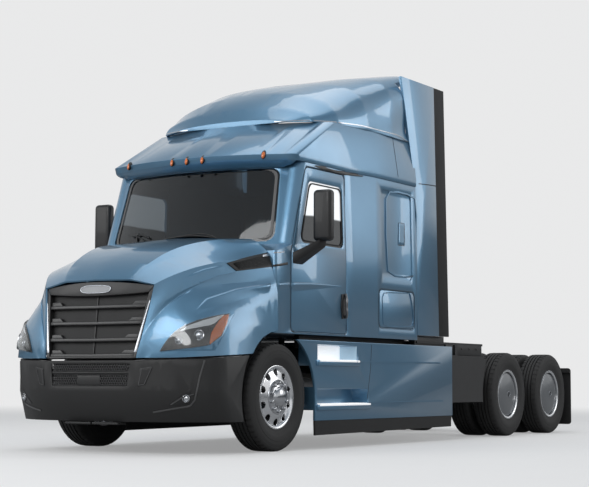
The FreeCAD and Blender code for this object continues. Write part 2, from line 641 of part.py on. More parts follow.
# Cab and sleeper: stacked plan outlines joined by ruled walls.
def plan_outline(level, front, bow, half, rear_half, inset=0.0, rear=None, low=False):
    # Closed plan outline; the front is an arc, the sides step out at the flute.
    rear = size("cab_rear") if rear is None else rear
    corner = size("cowl_corner") if low else size("pillar_set_back")
    pillar = (size("cowl_half") if low else size("pillar_half") * half / size("cab_half")) - inset
    side = half - inset
    back = rear_half - inset
    nose = front + inset
    end = rear - inset
    turn = size("rear_corner")
    pillar_y = nose + bow
    side_y = pillar_y + corner
    bulge = Vector(pillar + (side - pillar) * 0.68, pillar_y + corner * 0.32, level)
    flute_front = size("flute_front")
    flute_rear = size("flute_rear")

    def at(x, y):
        return Vector(x, y, level)

    edges = [Part.Arc(at(-pillar, pillar_y), at(0, nose), at(pillar, pillar_y)).toShape(),
             Part.Arc(at(pillar, pillar_y), bulge, at(side, side_y)).toShape()]
    path = [at(side, side_y), at(side, flute_front), at(back, flute_rear), at(back, end - turn),
            at(back - turn, end), at(turn - back, end), at(-back, end - turn), at(-back, flute_rear),
            at(-side, flute_front), at(-side, side_y)]
    for start, stop in zip(path, path[1:]):
        edges.append(Part.LineSegment(start, stop).toShape())
    far_bulge = Vector(-bulge.x, bulge.y, level)
    edges.append(Part.Arc(at(-side, side_y), far_bulge, at(-pillar, pillar_y)).toShape())
    return Part.Wire(edges)


def cab_solid(inset=0.0, top=None):
    top = size("cab_top") if top is None else top
    front = size("cab_front")
    cowl = size("cowl_front")
    half = size("cab_half")
    wide = size("sleeper_half")
    wires = [plan_outline(size("cab_floor") + inset, cowl, size("cowl_bow"), half, wide, inset, low=True),
             plan_outline(size("cowl_height"), cowl, size("cowl_bow"), half, wide, inset, low=True),
             plan_outline(size("sill_height"), front, size("screen_bow"), half - 4, wide - 2, inset),
             plan_outline(top, front + size("screen_rake"), size("screen_bow"), size("cab_top_half"),
                          size("sleeper_top_half"), inset)]
    return Part.makeLoft(wires, True, True)


def front_leaning(y, z):
    # The door's front edge follows the windscreen pillar above the cowl.
    lean = size("door_rake") / (size("door_top") - size("cowl_height"))
    return y + max(0.0, z - size("cowl_height")) * lean


def door_outline(grow):
    front = size("door_front") - grow
    rear = size("door_rear") + grow
    low = size("door_bottom") - grow
    high = size("door_top") + grow
    cowl = size("cowl_height")
    return [(front, low), (front, cowl), (front_leaning(front, high), high), (rear, high), (rear, low)]


def window_outline():
    low = size("window_bottom")
    high = size("window_top")
    front = size("window_front")
    return [(front, low), (front + size("window_rake"), high), (size("window_rear"), high),
            (size("window_rear"), low)]


def baggage_outline(grow):
    return [(size("baggage_front") - grow, size("baggage_bottom") - grow),
            (size("baggage_rear") + grow, size("baggage_bottom") - grow),
            (size("baggage_rear") + grow, size("baggage_top") + grow),
            (size("baggage_front") - grow, size("baggage_top") + grow)]


through = Vector(400, 0, 0)
inside_x = size("cab_half") - 200
skin = cab_solid()
hollow = cab_solid(size("wall"), size("cab_top") + 1)
wall_shell = skin.cut(hollow)
floor_top = size("cab_floor") + size("wall")
inner_wall = size("cab_half") - size("wall")
floor_slab = Part.makeBox(inner_wall, 4000, floor_top, Vector(0, -500, 0))
door_hole = rounded_prism(side_points(door_outline(0), inside_x), through, 60).cut(floor_slab)
door_body = rounded_prism(side_points(door_outline(-size("door_gap")), inside_x), through, 55)
door_body = door_body.cut(floor_slab)
window_hole = rounded_prism(side_points(window_outline(), inside_x), through, 70)
baggage_hole = rounded_prism(side_points(baggage_outline(0), inside_x), through, 70)
baggage_body = rounded_prism(side_points(baggage_outline(-size("door_gap")), inside_x), through, 65)
mirror_plane = (Vector(0, 0, 0), Vector(1, 0, 0))
screen_points = [Vector(-size("screen_half_low"), -300, size("screen_low")),
                 Vector(size("screen_half_low"), -300, size("screen_low")),
                 Vector(size("screen_half_high"), -300, size("screen_high")),
                 Vector(-size("screen_half_high"), -300, size("screen_high"))]
screen_hole = rounded_prism(screen_points, Vector(0, 1000, 0), 90)
glass_layer = cab_solid(size("glass_inset")).cut(cab_solid(size("glass_inset") + size("glass")))
recess = rounded_prism([Vector(0, size("recess_front"), size("recess_bottom")),
                        Vector(0, size("recess_rear"), size("recess_bottom")),
                        Vector(0, size("recess_rear"), size("recess_top")),
                        Vector(0, size("recess_front"), size("recess_top"))], Vector(2000, 0, 0), 60)
recess = recess.cut(cab_solid(size("recess_depth")))


def seal_lip(outline):
    # Ledge on the wall's inside that the closed door or lid lies against; the hinge side has none.
    wall = size("wall")
    hinge_side = size("door_front") + size("seal_width") + 15
    pillar_top = size("door_top") - size("seal_width") - 15
    hinge_leg = prism(side_points([(0, floor_top + 15), (hinge_side, floor_top + 15),
                                   (hinge_side, size("cowl_height")),
                                   (front_leaning(hinge_side, pillar_top), pillar_top), (0, pillar_top)], 0),
                      Vector(2000, 0, 0))
    ring_outer = prism(side_points(outline(12), inside_x), through)
    inside = cab_solid(wall + size("seal_depth"), size("cab_top") + 1)
    layers = []
    for outset, opening in ((wall + size("seat_clear"), -size("seal_width")), (wall - 5, 1)):
        ring_inner = prism(side_points(outline(opening), inside_x), through)
        layer = cab_solid(outset, size("cab_top")).cut(inside)
        layers.append(layer.common(ring_outer).cut([ring_inner, hinge_leg]))
    return layers[0].fuse(layers[1])


cab_openings = [screen_hole]
for tool in (door_hole, baggage_hole, recess):
    cab_openings += [tool, tool.mirror(*mirror_plane)]
lips = []
for outline in (door_outline, baggage_outline):
    lip = seal_lip(outline)
    lips += [lip, lip.mirror(*mirror_plane)]
keep_shape("cab_shell", wall_shell.cut(cab_openings).fuse(lips))
keep_shape("windscreen", glass_layer.common(screen_hole))

door_panel = wall_shell.common(door_body).cut(window_hole)
left_door = keep_shape("door_left", door_panel)
other_side(left_door, "door_right")
door_glass = glass_layer.common(window_hole)
left_glass = keep_shape("door_glass_left", door_glass)
other_side(left_glass, "door_glass_right")
left_baggage = keep_shape("baggage_door_left", wall_shell.common(baggage_body))
other_side(left_baggage, "baggage_door_right")


def mirror_head():
    out = size("mirror_out")
    low = size("mirror_bottom")
    wide = size("mirror_width")
    front = size("mirror_front")
    head = Part.makeBox(wide, size("mirror_depth"), size("mirror_height"), Vector(out - wide, front, low))
    upright = [edge for edge in head.Edges if abs(edge.tangentAt(edge.FirstParameter).z) > 0.9]
    head = head.makeFillet(38, upright)
    root = Vector(size("cab_half") - 10, size("door_front") + 60, size("cowl_height") - 70)
    elbow = Vector(out - wide / 2, front + size("mirror_depth") / 2, low - 40)
    run = elbow - root
    arm = Part.makeCylinder(size("mirror_arm_radius"), run.Length + 60, root, run)
    foot = Part.makeBox(40, 100, 120, root + Vector(0, -50, -60))
    joint = Part.makeSphere(size("mirror_arm_radius") + 6, elbow + Vector(0, 0, 10))
    stem = Part.makeCylinder(size("mirror_arm_radius"), 60, elbow)
    solid = head.fuse([arm, foot, joint, stem])
    return solid.cut(skin)


left_mirror = keep_shape("mirror_left", mirror_head())
other_side(left_mirror, "mirror_right")


# Roof: visor, cap and the aerodynamic fairing above it.
def cap_solid(inset=0.0):
    seam = size("cab_top")
    out = size("cap_overhang")
    half = size("cab_top_half") + out
    wide = size("sleeper_top_half") + out
    rear = size("cab_rear") + 4
    bow = size("cap_bow")
    top_half = size("cap_top_half")
    wires = [plan_outline(seam + size("seat_clear"), size("cap_front") + 25, bow, half, wide, inset, rear),
             plan_outline(size("cap_brow"), size("cap_front"), bow, half, wide, inset, rear),
             plan_outline(size("cap_top") - inset, size("cap_top_front"), bow, top_half, top_half + 40,
                          inset, rear)]
    return Part.makeLoft(wires, True, True)


def visor():
    seam = size("cab_top")
    half = size("cab_top_half") + size("cap_overhang")
    wires = [plan_outline(size("visor_bottom"), size("visor_front"), size("cap_bow"), half - 6, half - 6),
             plan_outline(seam, size("cap_front") + 25, size("cap_bow"), half, half)]
    strip = Part.makeLoft(wires, True, True)
    front_only = Part.makeBox(3000, 300 + size("visor_rear"), 200,
                              Vector(-1500, -300, size("visor_bottom") - 20))
    return strip.common(front_only).cut(cab_solid(-4))


keep_shape("sun_visor", visor())


def fairing_section(y, half, rise, fullness, inset=0.0):
    # Arched section: a low fullness is round, a high one has square shoulders.
    low = size("cap_top") + size("seat_clear")
    last = 12
    points = []
    for step in range(last + 1):
        turn = math.pi * step / last
        across = math.copysign(abs(math.cos(turn)) ** (2 / fullness), math.cos(turn))
        up = math.sin(turn) ** (2 / fullness) if 0 < step < last else 0.0
        points.append(Vector((half - inset) * across, y, low + (rise - inset) * up))
    arch = Part.BSplineCurve()
    arch.interpolate(points)
    edges = [arch.toShape(), Part.makeLine(points[-1], points[0])]
    if inset:
        # The hollow's sections reach below the foot, so that the shell stays open there.
        below = Vector(0, 0, size("fairing_wall"))
        feet = [points[-1] - below, points[0] - below]
        edges = [arch.toShape(), Part.makeLine(points[-1], feet[0]), Part.makeLine(*feet),
                 Part.makeLine(feet[1], points[0])]
    return Part.Wire(edges)


# Share of the length, of the width and of the height, and how square the shoulders are.
fairing_stations = ((0.0, 0.60, 0.07, 2.0), (0.06, 0.80, 0.26, 2.0), (0.2, 0.93, 0.50, 2.2),
                    (0.45, 0.98, 0.71, 3.2), (0.72, 1.0, 0.87, 5.0), (1.0, 1.0, 1.0, 8.0))


def fairing_solid(inset=0.0):
    front = size("fairing_front") + inset
    run = size("cab_rear") + (10 if inset else 0) - front
    rise = size("fairing_top") - size("cap_top") - size("seat_clear")
    half = size("fairing_half")
    wires = [fairing_section(front + run * share, half * width, rise * height, fullness, inset)
             for share, width, height, fullness in fairing_stations]
    return Part.makeLoft(wires, True, True)


# Side extenders behind the sleeper: upright panels with a rubber strip down the rear edge.
extender_levels = ("extender_bottom", "cab_top", "extender_knee", "extender_top")
extender_fronts = ("extender_front", "extender_front", "extender_front_cap", "extender_front_top")


def extender_panel(start, stop, grow=0.0, depth=0.0):
    # Start and stop run from 0 at the panel's front edge over 1 at the trim to 2 at the rear.
    low = size("extender_bottom")
    tall = size("extender_top") - low
    wires = []
    for level, front in zip(extender_levels, extender_fronts):
        z = size(level)
        rise = (z - low) / tall
        outer = size("extender_half") + (size("extender_half_top") - size("extender_half")) * rise
        rear = size("extender_rear") + (size("extender_rear_top") - size("extender_rear")) * rise
        edges = (size(front), rear - size("extender_trim"), rear)
        y0 = edges[start] - grow if start == 0 else edges[start] + size("seat_clear")
        y1 = edges[stop]
        inner = outer - size("extender_wall") - depth
        wires.append(flat_wire([Vector(outer + grow, y0, z), Vector(outer + grow, y1, z),
                                Vector(inner, y1, z), Vector(inner, y0, z)]))
    return Part.makeLoft(wires, True, True)


extender_seam = extender_panel(0, 2, size("seat_clear"), 60)
extender_seams = [extender_seam, extender_seam.mirror(*mirror_plane)]
roof_parts = {"roof_cap": cap_solid().cut([cap_solid(size("cap_wall"))] + extender_seams),
              "roof_fairing": fairing_solid().cut([fairing_solid(size("fairing_wall"))] + extender_seams)}
for label, shape in roof_parts.items():
    keep_shape(label, sorted(shape.Solids, key=lambda solid: -solid.Volume)[0])
for label, start, stop in (("side_extenders", 0, 1), ("extender_trims", 1, 2)):
    panel = extender_panel(start, stop).cut(cab_solid(-size("seat_clear")))
    keep_shape(label, Part.makeCompound([panel, panel.mirror(*mirror_plane)]))


# Side fairings with two steps, and the rubber hem below them.
def skirt():
    front = size("skirt_front")
    top = size("skirt_top")
    low = size("skirt_bottom")
    centre = wheel_up
    reach = size("arch_radius")
    top_front = math.sqrt(reach ** 2 - (top - centre) ** 2)
    middle = Vector(0, reach * math.cos(0.45), centre + reach * math.sin(0.45))
    x = size("skirt_half") - size("skirt_wall")

    def at(y, z):
        return Vector(x, y, z)

    outline = Part.Wire([Part.Arc(at(top_front, top), at(middle.y, middle.z), at(reach, centre)).toShape(),
                         Part.LineSegment(at(reach, centre), at(front + 12, low)).toShape(),
                         Part.LineSegment(at(front + 12, low), at(size("skirt_rear"), low)).toShape(),
                         Part.LineSegment(at(size("skirt_rear"), low), at(size("skirt_rear"), top)).toShape(),
                         Part.LineSegment(at(size("skirt_rear"), top), at(top_front, top)).toShape()])
    panel = Part.Face(outline).extrude(Vector(size("skirt_wall"), 0, 0))
    wells = []
    shelves = []
    tall = size("step_opening")
    sheet_wall = size("step_wall")
    depth = size("step_depth")
    thick = size("step_thickness")
    well_front = reach + sheet_wall
    shelf_x = x + size("skirt_wall") - depth
    lining_depth = depth - size("skirt_wall") + sheet_wall
    lining_height = tall + thick + sheet_wall
    for step in ("lower_step", "upper_step"):
        level = size(step)
        rear = size(step + "_rear")
        run = rear - well_front
        low_corner = Vector(shelf_x, well_front, level - thick)
        back_corner = low_corner - Vector(sheet_wall, 0, 0)
        wells.append(Part.makeBox(depth, run - 2 * sheet_wall, tall,
                                  Vector(x - 10, well_front + sheet_wall, level)))
        shelves.append(Part.makeBox(depth + size("step_proud"), run, thick, low_corner))
        shelves.append(Part.makeBox(sheet_wall, run, lining_height, back_corner))
        for end in (0, run - sheet_wall):
            shelves.append(Part.makeBox(lining_depth, sheet_wall, lining_height,
                                        back_corner + Vector(0, end, 0)))
        shelves.append(Part.makeBox(lining_depth, run, sheet_wall,
                                    back_corner + Vector(0, 0, thick + tall)))
    return panel.cut(wells).fuse(shelves)


left_skirt = keep_shape("skirt_left", skirt())
other_side(left_skirt, "skirt_right")
hem_outline = [("skirt_front + 20", "rubber_bottom"), ("skirt_rear - 30", "rubber_bottom + 20"),
               ("skirt_rear - 30", "skirt_bottom"), ("skirt_front + 12", "skirt_bottom")]
left_hem = padded("HemLeft", "YZ_Plane", hem_outline, "skirt_wall - 8", offset="skirt_half - skirt_wall + 4")
right_hem = doc.addObject("Part::Mirroring", "HemRight")
right_hem.Source = left_hem
right_hem.Normal = Vector(1, 0, 0)
hems = doc.addObject("Part::Compound", "Hems")
hems.Links = [left_hem, right_hem]
keep(hems, "skirt_rubber")


def fuel_tank():
    radius = size("tank_radius")
    tank = Part.makeCylinder(radius, size("tank_rear") - size("tank_front"),
                             Vector(size("tank_offset"), size("tank_front"), size("tank_centre_height")),
                             Vector(0, 1, 0))
    carriers = []
    inner = size("frame_width") / 2
    outer = size("skirt_half") - size("skirt_wall")
    for y in (size("tank_front") + 150, size("tank_rear") - 230):
        carriers.append(Part.makeBox(outer - inner, 80, 60,
                                     Vector(inner, y, size("tank_centre_height") + radius - 40)))
    return tank.fuse(carriers)


left_tank = fuel_tank()
keep_shape("fuel_tanks", Part.makeCompound([left_tank, left_tank.mirror(*mirror_plane)]))


def quarter_panel():
    wall = size("quarter_wall")
    x = size("quarter_half") - wall
    front = size("skirt_rear") + 1
    rear = size("quarter_rear")
    low = size("quarter_bottom")
    high = size("quarter_top")
    reach = size("tyre_radius") + 240

    def at(y, z):
        return Vector(x, y, z)

    edge_low = first_drive - math.sqrt(reach ** 2 - (low - wheel_up) ** 2)
    edge_high = first_drive - math.sqrt(reach ** 2 - (high - wheel_up) ** 2)
    outline = Part.Wire([Part.LineSegment(at(front, low), at(edge_low, low)).toShape(),
                         Part.Arc(at(edge_low, low), at(first_drive - reach, wheel_up),
                                  at(edge_high, high)).toShape(),
                         Part.LineSegment(at(edge_high, high), at(front, high)).toShape(),
                         Part.LineSegment(at(front, high), at(front, low)).toShape()])
    face = Part.Face(outline)
    outer = face.extrude(Vector(wall, 0, 0))
    inner = size("frame_width") / 2
    tray = Part.makeBox(size("quarter_half") - inner, rear - front, 25, Vector(inner, front, high))
    post = Part.makeBox(60, 60, size("deck_top") - size("deck_thickness") - high - 25,
                        Vector(x - 60, front + 200, high + 25))
    return outer.fuse([tray, post])


left_quarter = quarter_panel()
keep_shape("quarter_panels", Part.makeCompound([left_quarter, left_quarter.mirror(*mirror_plane)]))
deck_corners = [("-deck_half", "cab_rear + 60"), ("deck_half", "cab_rear + 60"),
                ("deck_half", "quarter_rear + 60"), ("-deck_half", "quarter_rear + 60")]
deck = padded("DeckPlate", "XY_Plane", deck_corners, "deck_thickness", offset="deck_top - deck_thickness")
deck_feet = []
for number, place in enumerate(("cab_rear + 120", "skirt_rear", "quarter_rear - 80")):
    left_foot = box("DeckFoot%d" % number, ("frame_width / 2", place, "frame_top - 40"),
                    ("frame_width / 2 + 60", place + " + 50", "deck_top - deck_thickness"))
    right_foot = doc.addObject("Part::Mirroring", "DeckFootRight%d" % number)
    right_foot.Source = left_foot
    right_foot.Normal = Vector(1, 0, 0)
    deck_feet += [left_foot, right_foot]
keep(joined("Deck", [deck] + deck_feet), "deck_plate")


def mud_flap():
    outer = dual_x + size("dual_spacing") / 2 + size("tyre_width") / 2
    rear = rear_end - size("flap_thickness")
    flap = Part.makeBox(size("flap_width"), size("flap_thickness"), size("flap_top") - size("flap_bottom"),
                        Vector(outer - size("flap_width"), rear, size("flap_bottom")))
    corners = [edge for edge in flap.Edges if abs(edge.tangentAt(edge.FirstParameter).y) > 0.9]
    flap = flap.makeFillet(40, corners)
    inner = size("frame_width") / 2
    bar = Part.makeBox(outer - inner, 40, 40, Vector(inner, rear - 40, size("flap_top") - 60))
    return flap.fuse(bar)


left_flap = mud_flap()
keep_shape("mud_flaps", Part.makeCompound([left_flap, left_flap.mirror(*mirror_plane)]))


# Hood with fenders: a skin of ruled strips between the feature lines that run from the
# nose to the cowl. Each point is (x, y, z) on the left side, in the sizes that the sheet
# names hood_half, hood_length and hood_crown; other values of these three stretch the skin.
hood_lines = {
    "centre": ((0.0, -1285, 1556), (0, -1200, 1635), (0, -900, 1820), (0, -500, 1950), (0, -22, 2030)),
    "crease": ((360, -1268, 1550), (420, -1170, 1640), (500, -870, 1815), (610, -480, 1935),
               (850, -30, 1985)),
    "slope": ((400, -1262, 1545), (460, -1140, 1645), (580, -860, 1770), (730, -470, 1875),
              (930, -34, 1955)),
    "shoulder": ((616, -1235, 1500), (710, -1120, 1575), (860, -870, 1675), (970, -550, 1745),
                 (1040, -40, 1860)),
    "valley": ((586, -1268, 1300), (690, -1190, 1370), (860, -950, 1510), (990, -580, 1635),
               (1090, -46, 1730)),
    "groove": ((516, -1352, 852), (610, -1280, 1140), (800, -1080, 1400), (980, -650, 1530),
               (1120, -50, 1620)),
    "ridge": ((560, -1338, 853), (620, -1310, 1040), (800, -1120, 1335), (1000, -700, 1470),
              (1145, -54, 1560)),
    "scallop": ((620, -1325, 854), (780, -1252, 1000), (950, -1120, 1165), (1090, -740, 1290),
                (1160, -56, 1470)),
    "flank": ((700, -1292, 855), (860, -1228, 900), (1010, -1140, 980), (1130, -850, 1080),
              (1165, -56, 1200)),
    "edge": ((740, -1274, 856), (900, -1208, 860), (1040, -1120, 867), (1150, -870, 882),
             (1165, -56, 935)),
}
line_half, line_length, line_crown, line_foot = 1165, 1240, 2030, 850


def hood_points():
    # Rows of points from the left edge over the crown to the right edge.
    wide = size("hood_half") / line_half
    long = size("hood_length") / line_length
    rise = (size("hood_crown") - line_foot) / (line_crown - line_foot)
    near = [[Vector(x * wide, y * long, line_foot + (z - line_foot) * rise) for x, y, z in line]
            for line in hood_lines.values()]
    far = [[Vector(-point.x, point.y, point.z) for point in line] for line in near[:0:-1]]
    return far + near


def inward(rows, row, place, depth):
    # A point moved square to the skin, towards the inside. The nose's own points lie in one
    # line along its foot, so they take the direction of the points behind them.
    middle = max(place, 1)
    across = rows[min(row + 1, len(rows) - 1)][middle] - rows[max(row - 1, 0)][middle]
    along = rows[row][min(middle + 1, len(rows[row]) - 1)] - rows[row][middle - 1]
    return rows[row][place] + across.cross(along).normalize() * depth


def hood_skin(rows, first, last):
    # Closed shell between an outer and an inner skin, over the strips from first to last.
    inner = [[inward(rows, row, place, size("hood_wall")) for place in range(len(rows[row]))]
             for row in range(len(rows))]
    curves = []
    for points in (rows, inner):
        layer = []
        for row in points:
            spline = Part.BSplineCurve()
            spline.interpolate(row)
            layer.append(spline.toShape())
        curves.append(layer)
    faces = []
    for row in range(first, last):
        for layer in curves:
            faces.append(Part.makeRuledSurface(layer[row], layer[row + 1]))
        for end in (0, -1):
            rims = [Part.LineSegment(layer[row][end], layer[row + 1][end]).toShape()
                    for layer in (rows, inner)]
            faces.append(Part.makeRuledSurface(*rims))
    for row in (first, last):
        faces.append(Part.makeRuledSurface(curves[0][row], curves[1][row]))
    shell = Part.makeShell(faces)
    shell.sewShape()
    solid = Part.Solid(shell if shell.ShapeType == "Shell" else shell.Shells[0])
    if solid.Volume < 0:
        solid.reverse()
    return solid


def wheel_arch(radius):
    return Part.makeCylinder(radius, 3000, Vector(-1500, 0, wheel_up), Vector(1, 0, 0))


def hood_arm(side):
    # Hinge arm behind the nose, with an eye round the pin of the frame's lug.
    x = side * size("hood_arm_x") - (size("hood_arm_width") if side < 0 else 0)
    centre = Vector(x, -size("hood_pivot_front"), size("hood_pivot_height"))
    width = size("hood_arm_width")
    reach = size("hood_arm_reach")
    plate = Part.makeBox(width, reach, 2 * size("hood_eye_radius"),
                         centre - Vector(0, reach, size("hood_eye_radius")))
    eye = Part.makeCylinder(size("hood_eye_radius"), width, centre, Vector(1, 0, 0))
    bore = Part.makeCylinder(size("hood_pin_radius") + size("running_fit"), width + 2,
                             centre - Vector(1, 0, 0), Vector(1, 0, 0))
    return plate.fuse(eye).cut(bore)


def lamp_zone():
    # Side view of the wedge lamp, cut through the fender from the side.
    low = size("lamp_bottom")
    rear = -size("lamp_rear")
    outline = [(-1265, low), (-1010, low + 8), (rear - 180, low + 170), (rear, low + 345),
               (-1010, low + 275), (-1165, low + 175)]
    return prism(side_points(outline, 700), Vector(600, 0, 0))


hood_rows = hood_points()
whole_hood = hood_skin(hood_rows, 0, len(hood_rows) - 1)
hood_shell = whole_hood.cut(wheel_arch(size("hood_arch")))
zone = lamp_zone()
lamp = hood_shell.common(zone)
hood_shell = hood_shell.cut([zone, zone.mirror(*mirror_plane)])
hood = hood_shell.fuse([hood_arm(1), hood_arm(-1)])
keep_shape("hood", sorted(hood.Solids, key=lambda solid: -solid.Volume)[0])
keep_shape("headlamps", Part.makeCompound([lamp, lamp.mirror(*mirror_plane)]))


# Grille: a bowed surround with an arched top, horizontal blades, a divider and shutters behind.
def grille_slab(start, depth):
    # Bowed upright slab behind the nose's front line.
    half = 720
    wires = []
    for level, y, bow in ((size("grille_bottom") - 40, size("grille_front"), 30),
                          (size("grille_crown") + 20, size("grille_front_top"), 72)):
        front = start - y
        near = [Vector(-half, front + bow, level), Vector(0, front, level), Vector(half, front + bow, level)]
        behind = [point + Vector(0, depth, 0) for point in near]
        edges = [Part.Arc(*near).toShape(), Part.LineSegment(near[2], behind[2]).toShape(),
                 Part.Arc(*behind[::-1]).toShape(), Part.LineSegment(behind[0], near[0]).toShape()]
        wires.append(Part.Wire(edges))
    return Part.makeLoft(wires, True, True)


def grille_outline(shrink, arched):
    low = size("grille_bottom") + shrink * 0.6
    high = size("grille_top") - shrink
    half_low = size("grille_half_bottom") - shrink
    half_high = size("grille_half_top") - shrink
    crown = size("grille_crown") if arched else high
    corners = [Vector(half_high, -1600, high), Vector(-half_high, -1600, high)]
    sides = [Part.LineSegment(corners[1], Vector(-half_low, -1600, low)),
             Part.LineSegment(Vector(-half_low, -1600, low), Vector(half_low, -1600, low)),
             Part.LineSegment(Vector(half_low, -1600, low), corners[0])]
    top = Part.Arc(corners[0], Vector(0, -1600, crown), corners[1]) if arched else Part.LineSegment(*corners)
    outline = Part.Wire([side.toShape() for side in sides + [top]])
    return Part.Face(outline).extrude(Vector(0, 600, 0))


def grille():
    border = size("grille_border")
    clear = size("seat_clear")
    opening = grille_outline(border, False)
    frame = grille_slab(0, size("grille_depth")).common(grille_outline(clear, True)).cut(opening)
    low = size("grille_bottom")
    high = size("grille_top")
    count = int(size("blade_count"))
    pitch = (high - low - 2 * border) / count
    rows = []
    for number in range(count):
        centre = low + border + pitch * (number + 0.5)
        rows.append(Part.makeBox(1200, 500, size("blade_height"),
                                 Vector(-600, -1600, centre - size("blade_height") / 2)))
    blades = grille_slab(18, size("blade_depth")).common(rows[0].fuse(rows[1:]))
    divider = grille_slab(44, size("blade_depth")).common(
        Part.makeBox(size("divider_width"), 500, high - low, Vector(-size("divider_width") / 2, -1600, low)))
    shutter = grille_slab(size("shutter_set_back"), 12)
    lattice = blades.fuse([divider, shutter]).common(grille_outline(border - 6, False)).fuse(frame)
    foot_start = size("grille_foot_depth") - size("grille_front")
    foot = Part.makeBox(size("frame_width") + 20, 400, border,
                        Vector(-size("frame_width") / 2 - 10, foot_start, low - 15))
    return lattice.cut(foot)


keep_shape("grille", grille())


# Bumper: one moulding that wraps round to the wheel arches, with an intake mesh.
bumper_plan = ((450, 18), (650, 60), (800, 122), (923, 198), (1080, 318), (1165, 520))


def bumper_outline(level, grow, inset=0.0):
    half = size("bumper_half") - inset
    y = -size("front_overhang") + grow + inset
    rear = -size("bumper_rear") + (20 if inset else 0) + 40
    widest = bumper_plan[-1][0]
    near = [Vector(x * half / widest, y + back, level) for x, back in bumper_plan]
    far = [Vector(-point.x, point.y, level) for point in near[::-1]]
    front = Part.BSplineCurve()
    front.interpolate(far + [Vector(0, y, level)] + near)
    corners = [near[-1], Vector(half, rear, level), Vector(-half, rear, level), far[0]]
    edges = [front.toShape()]
    for start, stop in zip(corners, corners[1:]):
        edges.append(Part.LineSegment(start, stop).toShape())
    return Part.Wire(edges)


def bumper_solid(inset=0.0):
    extra = 10 if inset else 0
    middle = (size("bumper_top") + size("bumper_bottom")) / 2
    wires = [bumper_outline(size("bumper_bottom") - extra, size("bumper_undercut"), inset),
             bumper_outline(middle, 0, inset), bumper_outline(size("bumper_rear_top") + extra, 0, inset)]
    return Part.makeLoft(wires, True, True)


mesh_zone = [Vector(-size("mesh_half_bottom"), -1500, size("mesh_bottom")),
             Vector(size("mesh_half_bottom"), -1500, size("mesh_bottom")),
             Vector(size("mesh_half_top"), -1500, size("mesh_top")),
             Vector(-size("mesh_half_top"), -1500, size("mesh_top"))]
mesh_hole = prism(mesh_zone, Vector(0, 400, 0))
slope_rear = 60 - size("bumper_rear")
slope_top = prism(side_points([(-1500, size("bumper_top") - 6), (slope_rear, size("bumper_rear_top") + 4),
                               (slope_rear, 1200), (-1500, 1200)], -1500), Vector(3000, 0, 0))
bumper_shell = bumper_solid().cut([bumper_solid(size("bumper_wall")), mesh_hole, slope_top,
                                   wheel_arch(size("hood_arch") + 20)])
mesh_front = -size("front_overhang") + 25
mesh_pitch = (size("mesh_top") - size("mesh_bottom")) / size("mesh_bars")
mesh_bars = []
for number in range(int(size("mesh_bars"))):
    level = size("mesh_bottom") + mesh_pitch * (number + 0.5)
    mesh_bars.append(Part.makeBox(1000, 30, 16, Vector(-500, mesh_front, level - 8)))
mesh_bars.append(Part.makeBox(260, 35, 90, Vector(-130, mesh_front - 5, size("mesh_bottom") + 8)))
mesh_bars.append(Part.makeBox(1000, 10, 300, Vector(-500, mesh_front + 30, size("mesh_bottom") - 50)))
mesh = mesh_bars[0].fuse(mesh_bars[1:]).common(mesh_hole)
brackets = []
bracket_low = size("frame_top") - size("rail_height") - 30
for side in (-1, 1):
    x = side * (size("frame_width") / 2 - 20) - 20
    brackets.append(Part.makeBox(40, size("front_overhang") - size("frame_front") - 30, 100,
                                 Vector(x, 30 - size("front_overhang"), bracket_low)))
keep_shape("bumper", bumper_shell.fuse([mesh] + brackets))


# Inside of the cab, seen through the glass.
def seat(x):
    half = size("seat_width") / 2
    floor = size("cab_floor") + size("wall")
    front = size("seat_back") - size("seat_depth")
    thick = size("seat_cushion")
    low = size("seat_height") - thick
    inset = 80
    base = Part.makeBox(2 * (half - inset), size("seat_depth") - 2 * inset, low - floor,
                        Vector(x - half + inset, front + inset, floor))
    cushion = Part.makeBox(2 * half, size("seat_depth"), thick, Vector(x - half, front, low))
    rest = Part.makeBox(2 * half, size("seat_back_thickness"), size("seat_back_height") - low,
                        Vector(x - half, size("seat_back"), low))
    return base.fuse([cushion, rest])


keep_shape("seats", Part.makeCompound([seat(size("seat_offset")), seat(-size("seat_offset"))]))
bunk_rear = "cab_rear - wall"
bunk_front = bunk_rear + " - bunk_depth"
bunk_side = "(sleeper_half - wall - 30)"
platform = "bunk_height - bunk_thickness"
keep(joined("Bunk", [box("BunkFront", ("-" + bunk_side, bunk_front, "cab_floor + wall"),
                         (bunk_side, bunk_front + " + 20", platform)),
                     box("BunkPlatform", ("-" + bunk_side, bunk_front, platform + " - 25"),
                         (bunk_side, bunk_rear, platform)),
                     box("Mattress", ("-" + bunk_side, bunk_front + " + 10", platform),
                         (bunk_side, bunk_rear, "bunk_height"))]), "bunk")


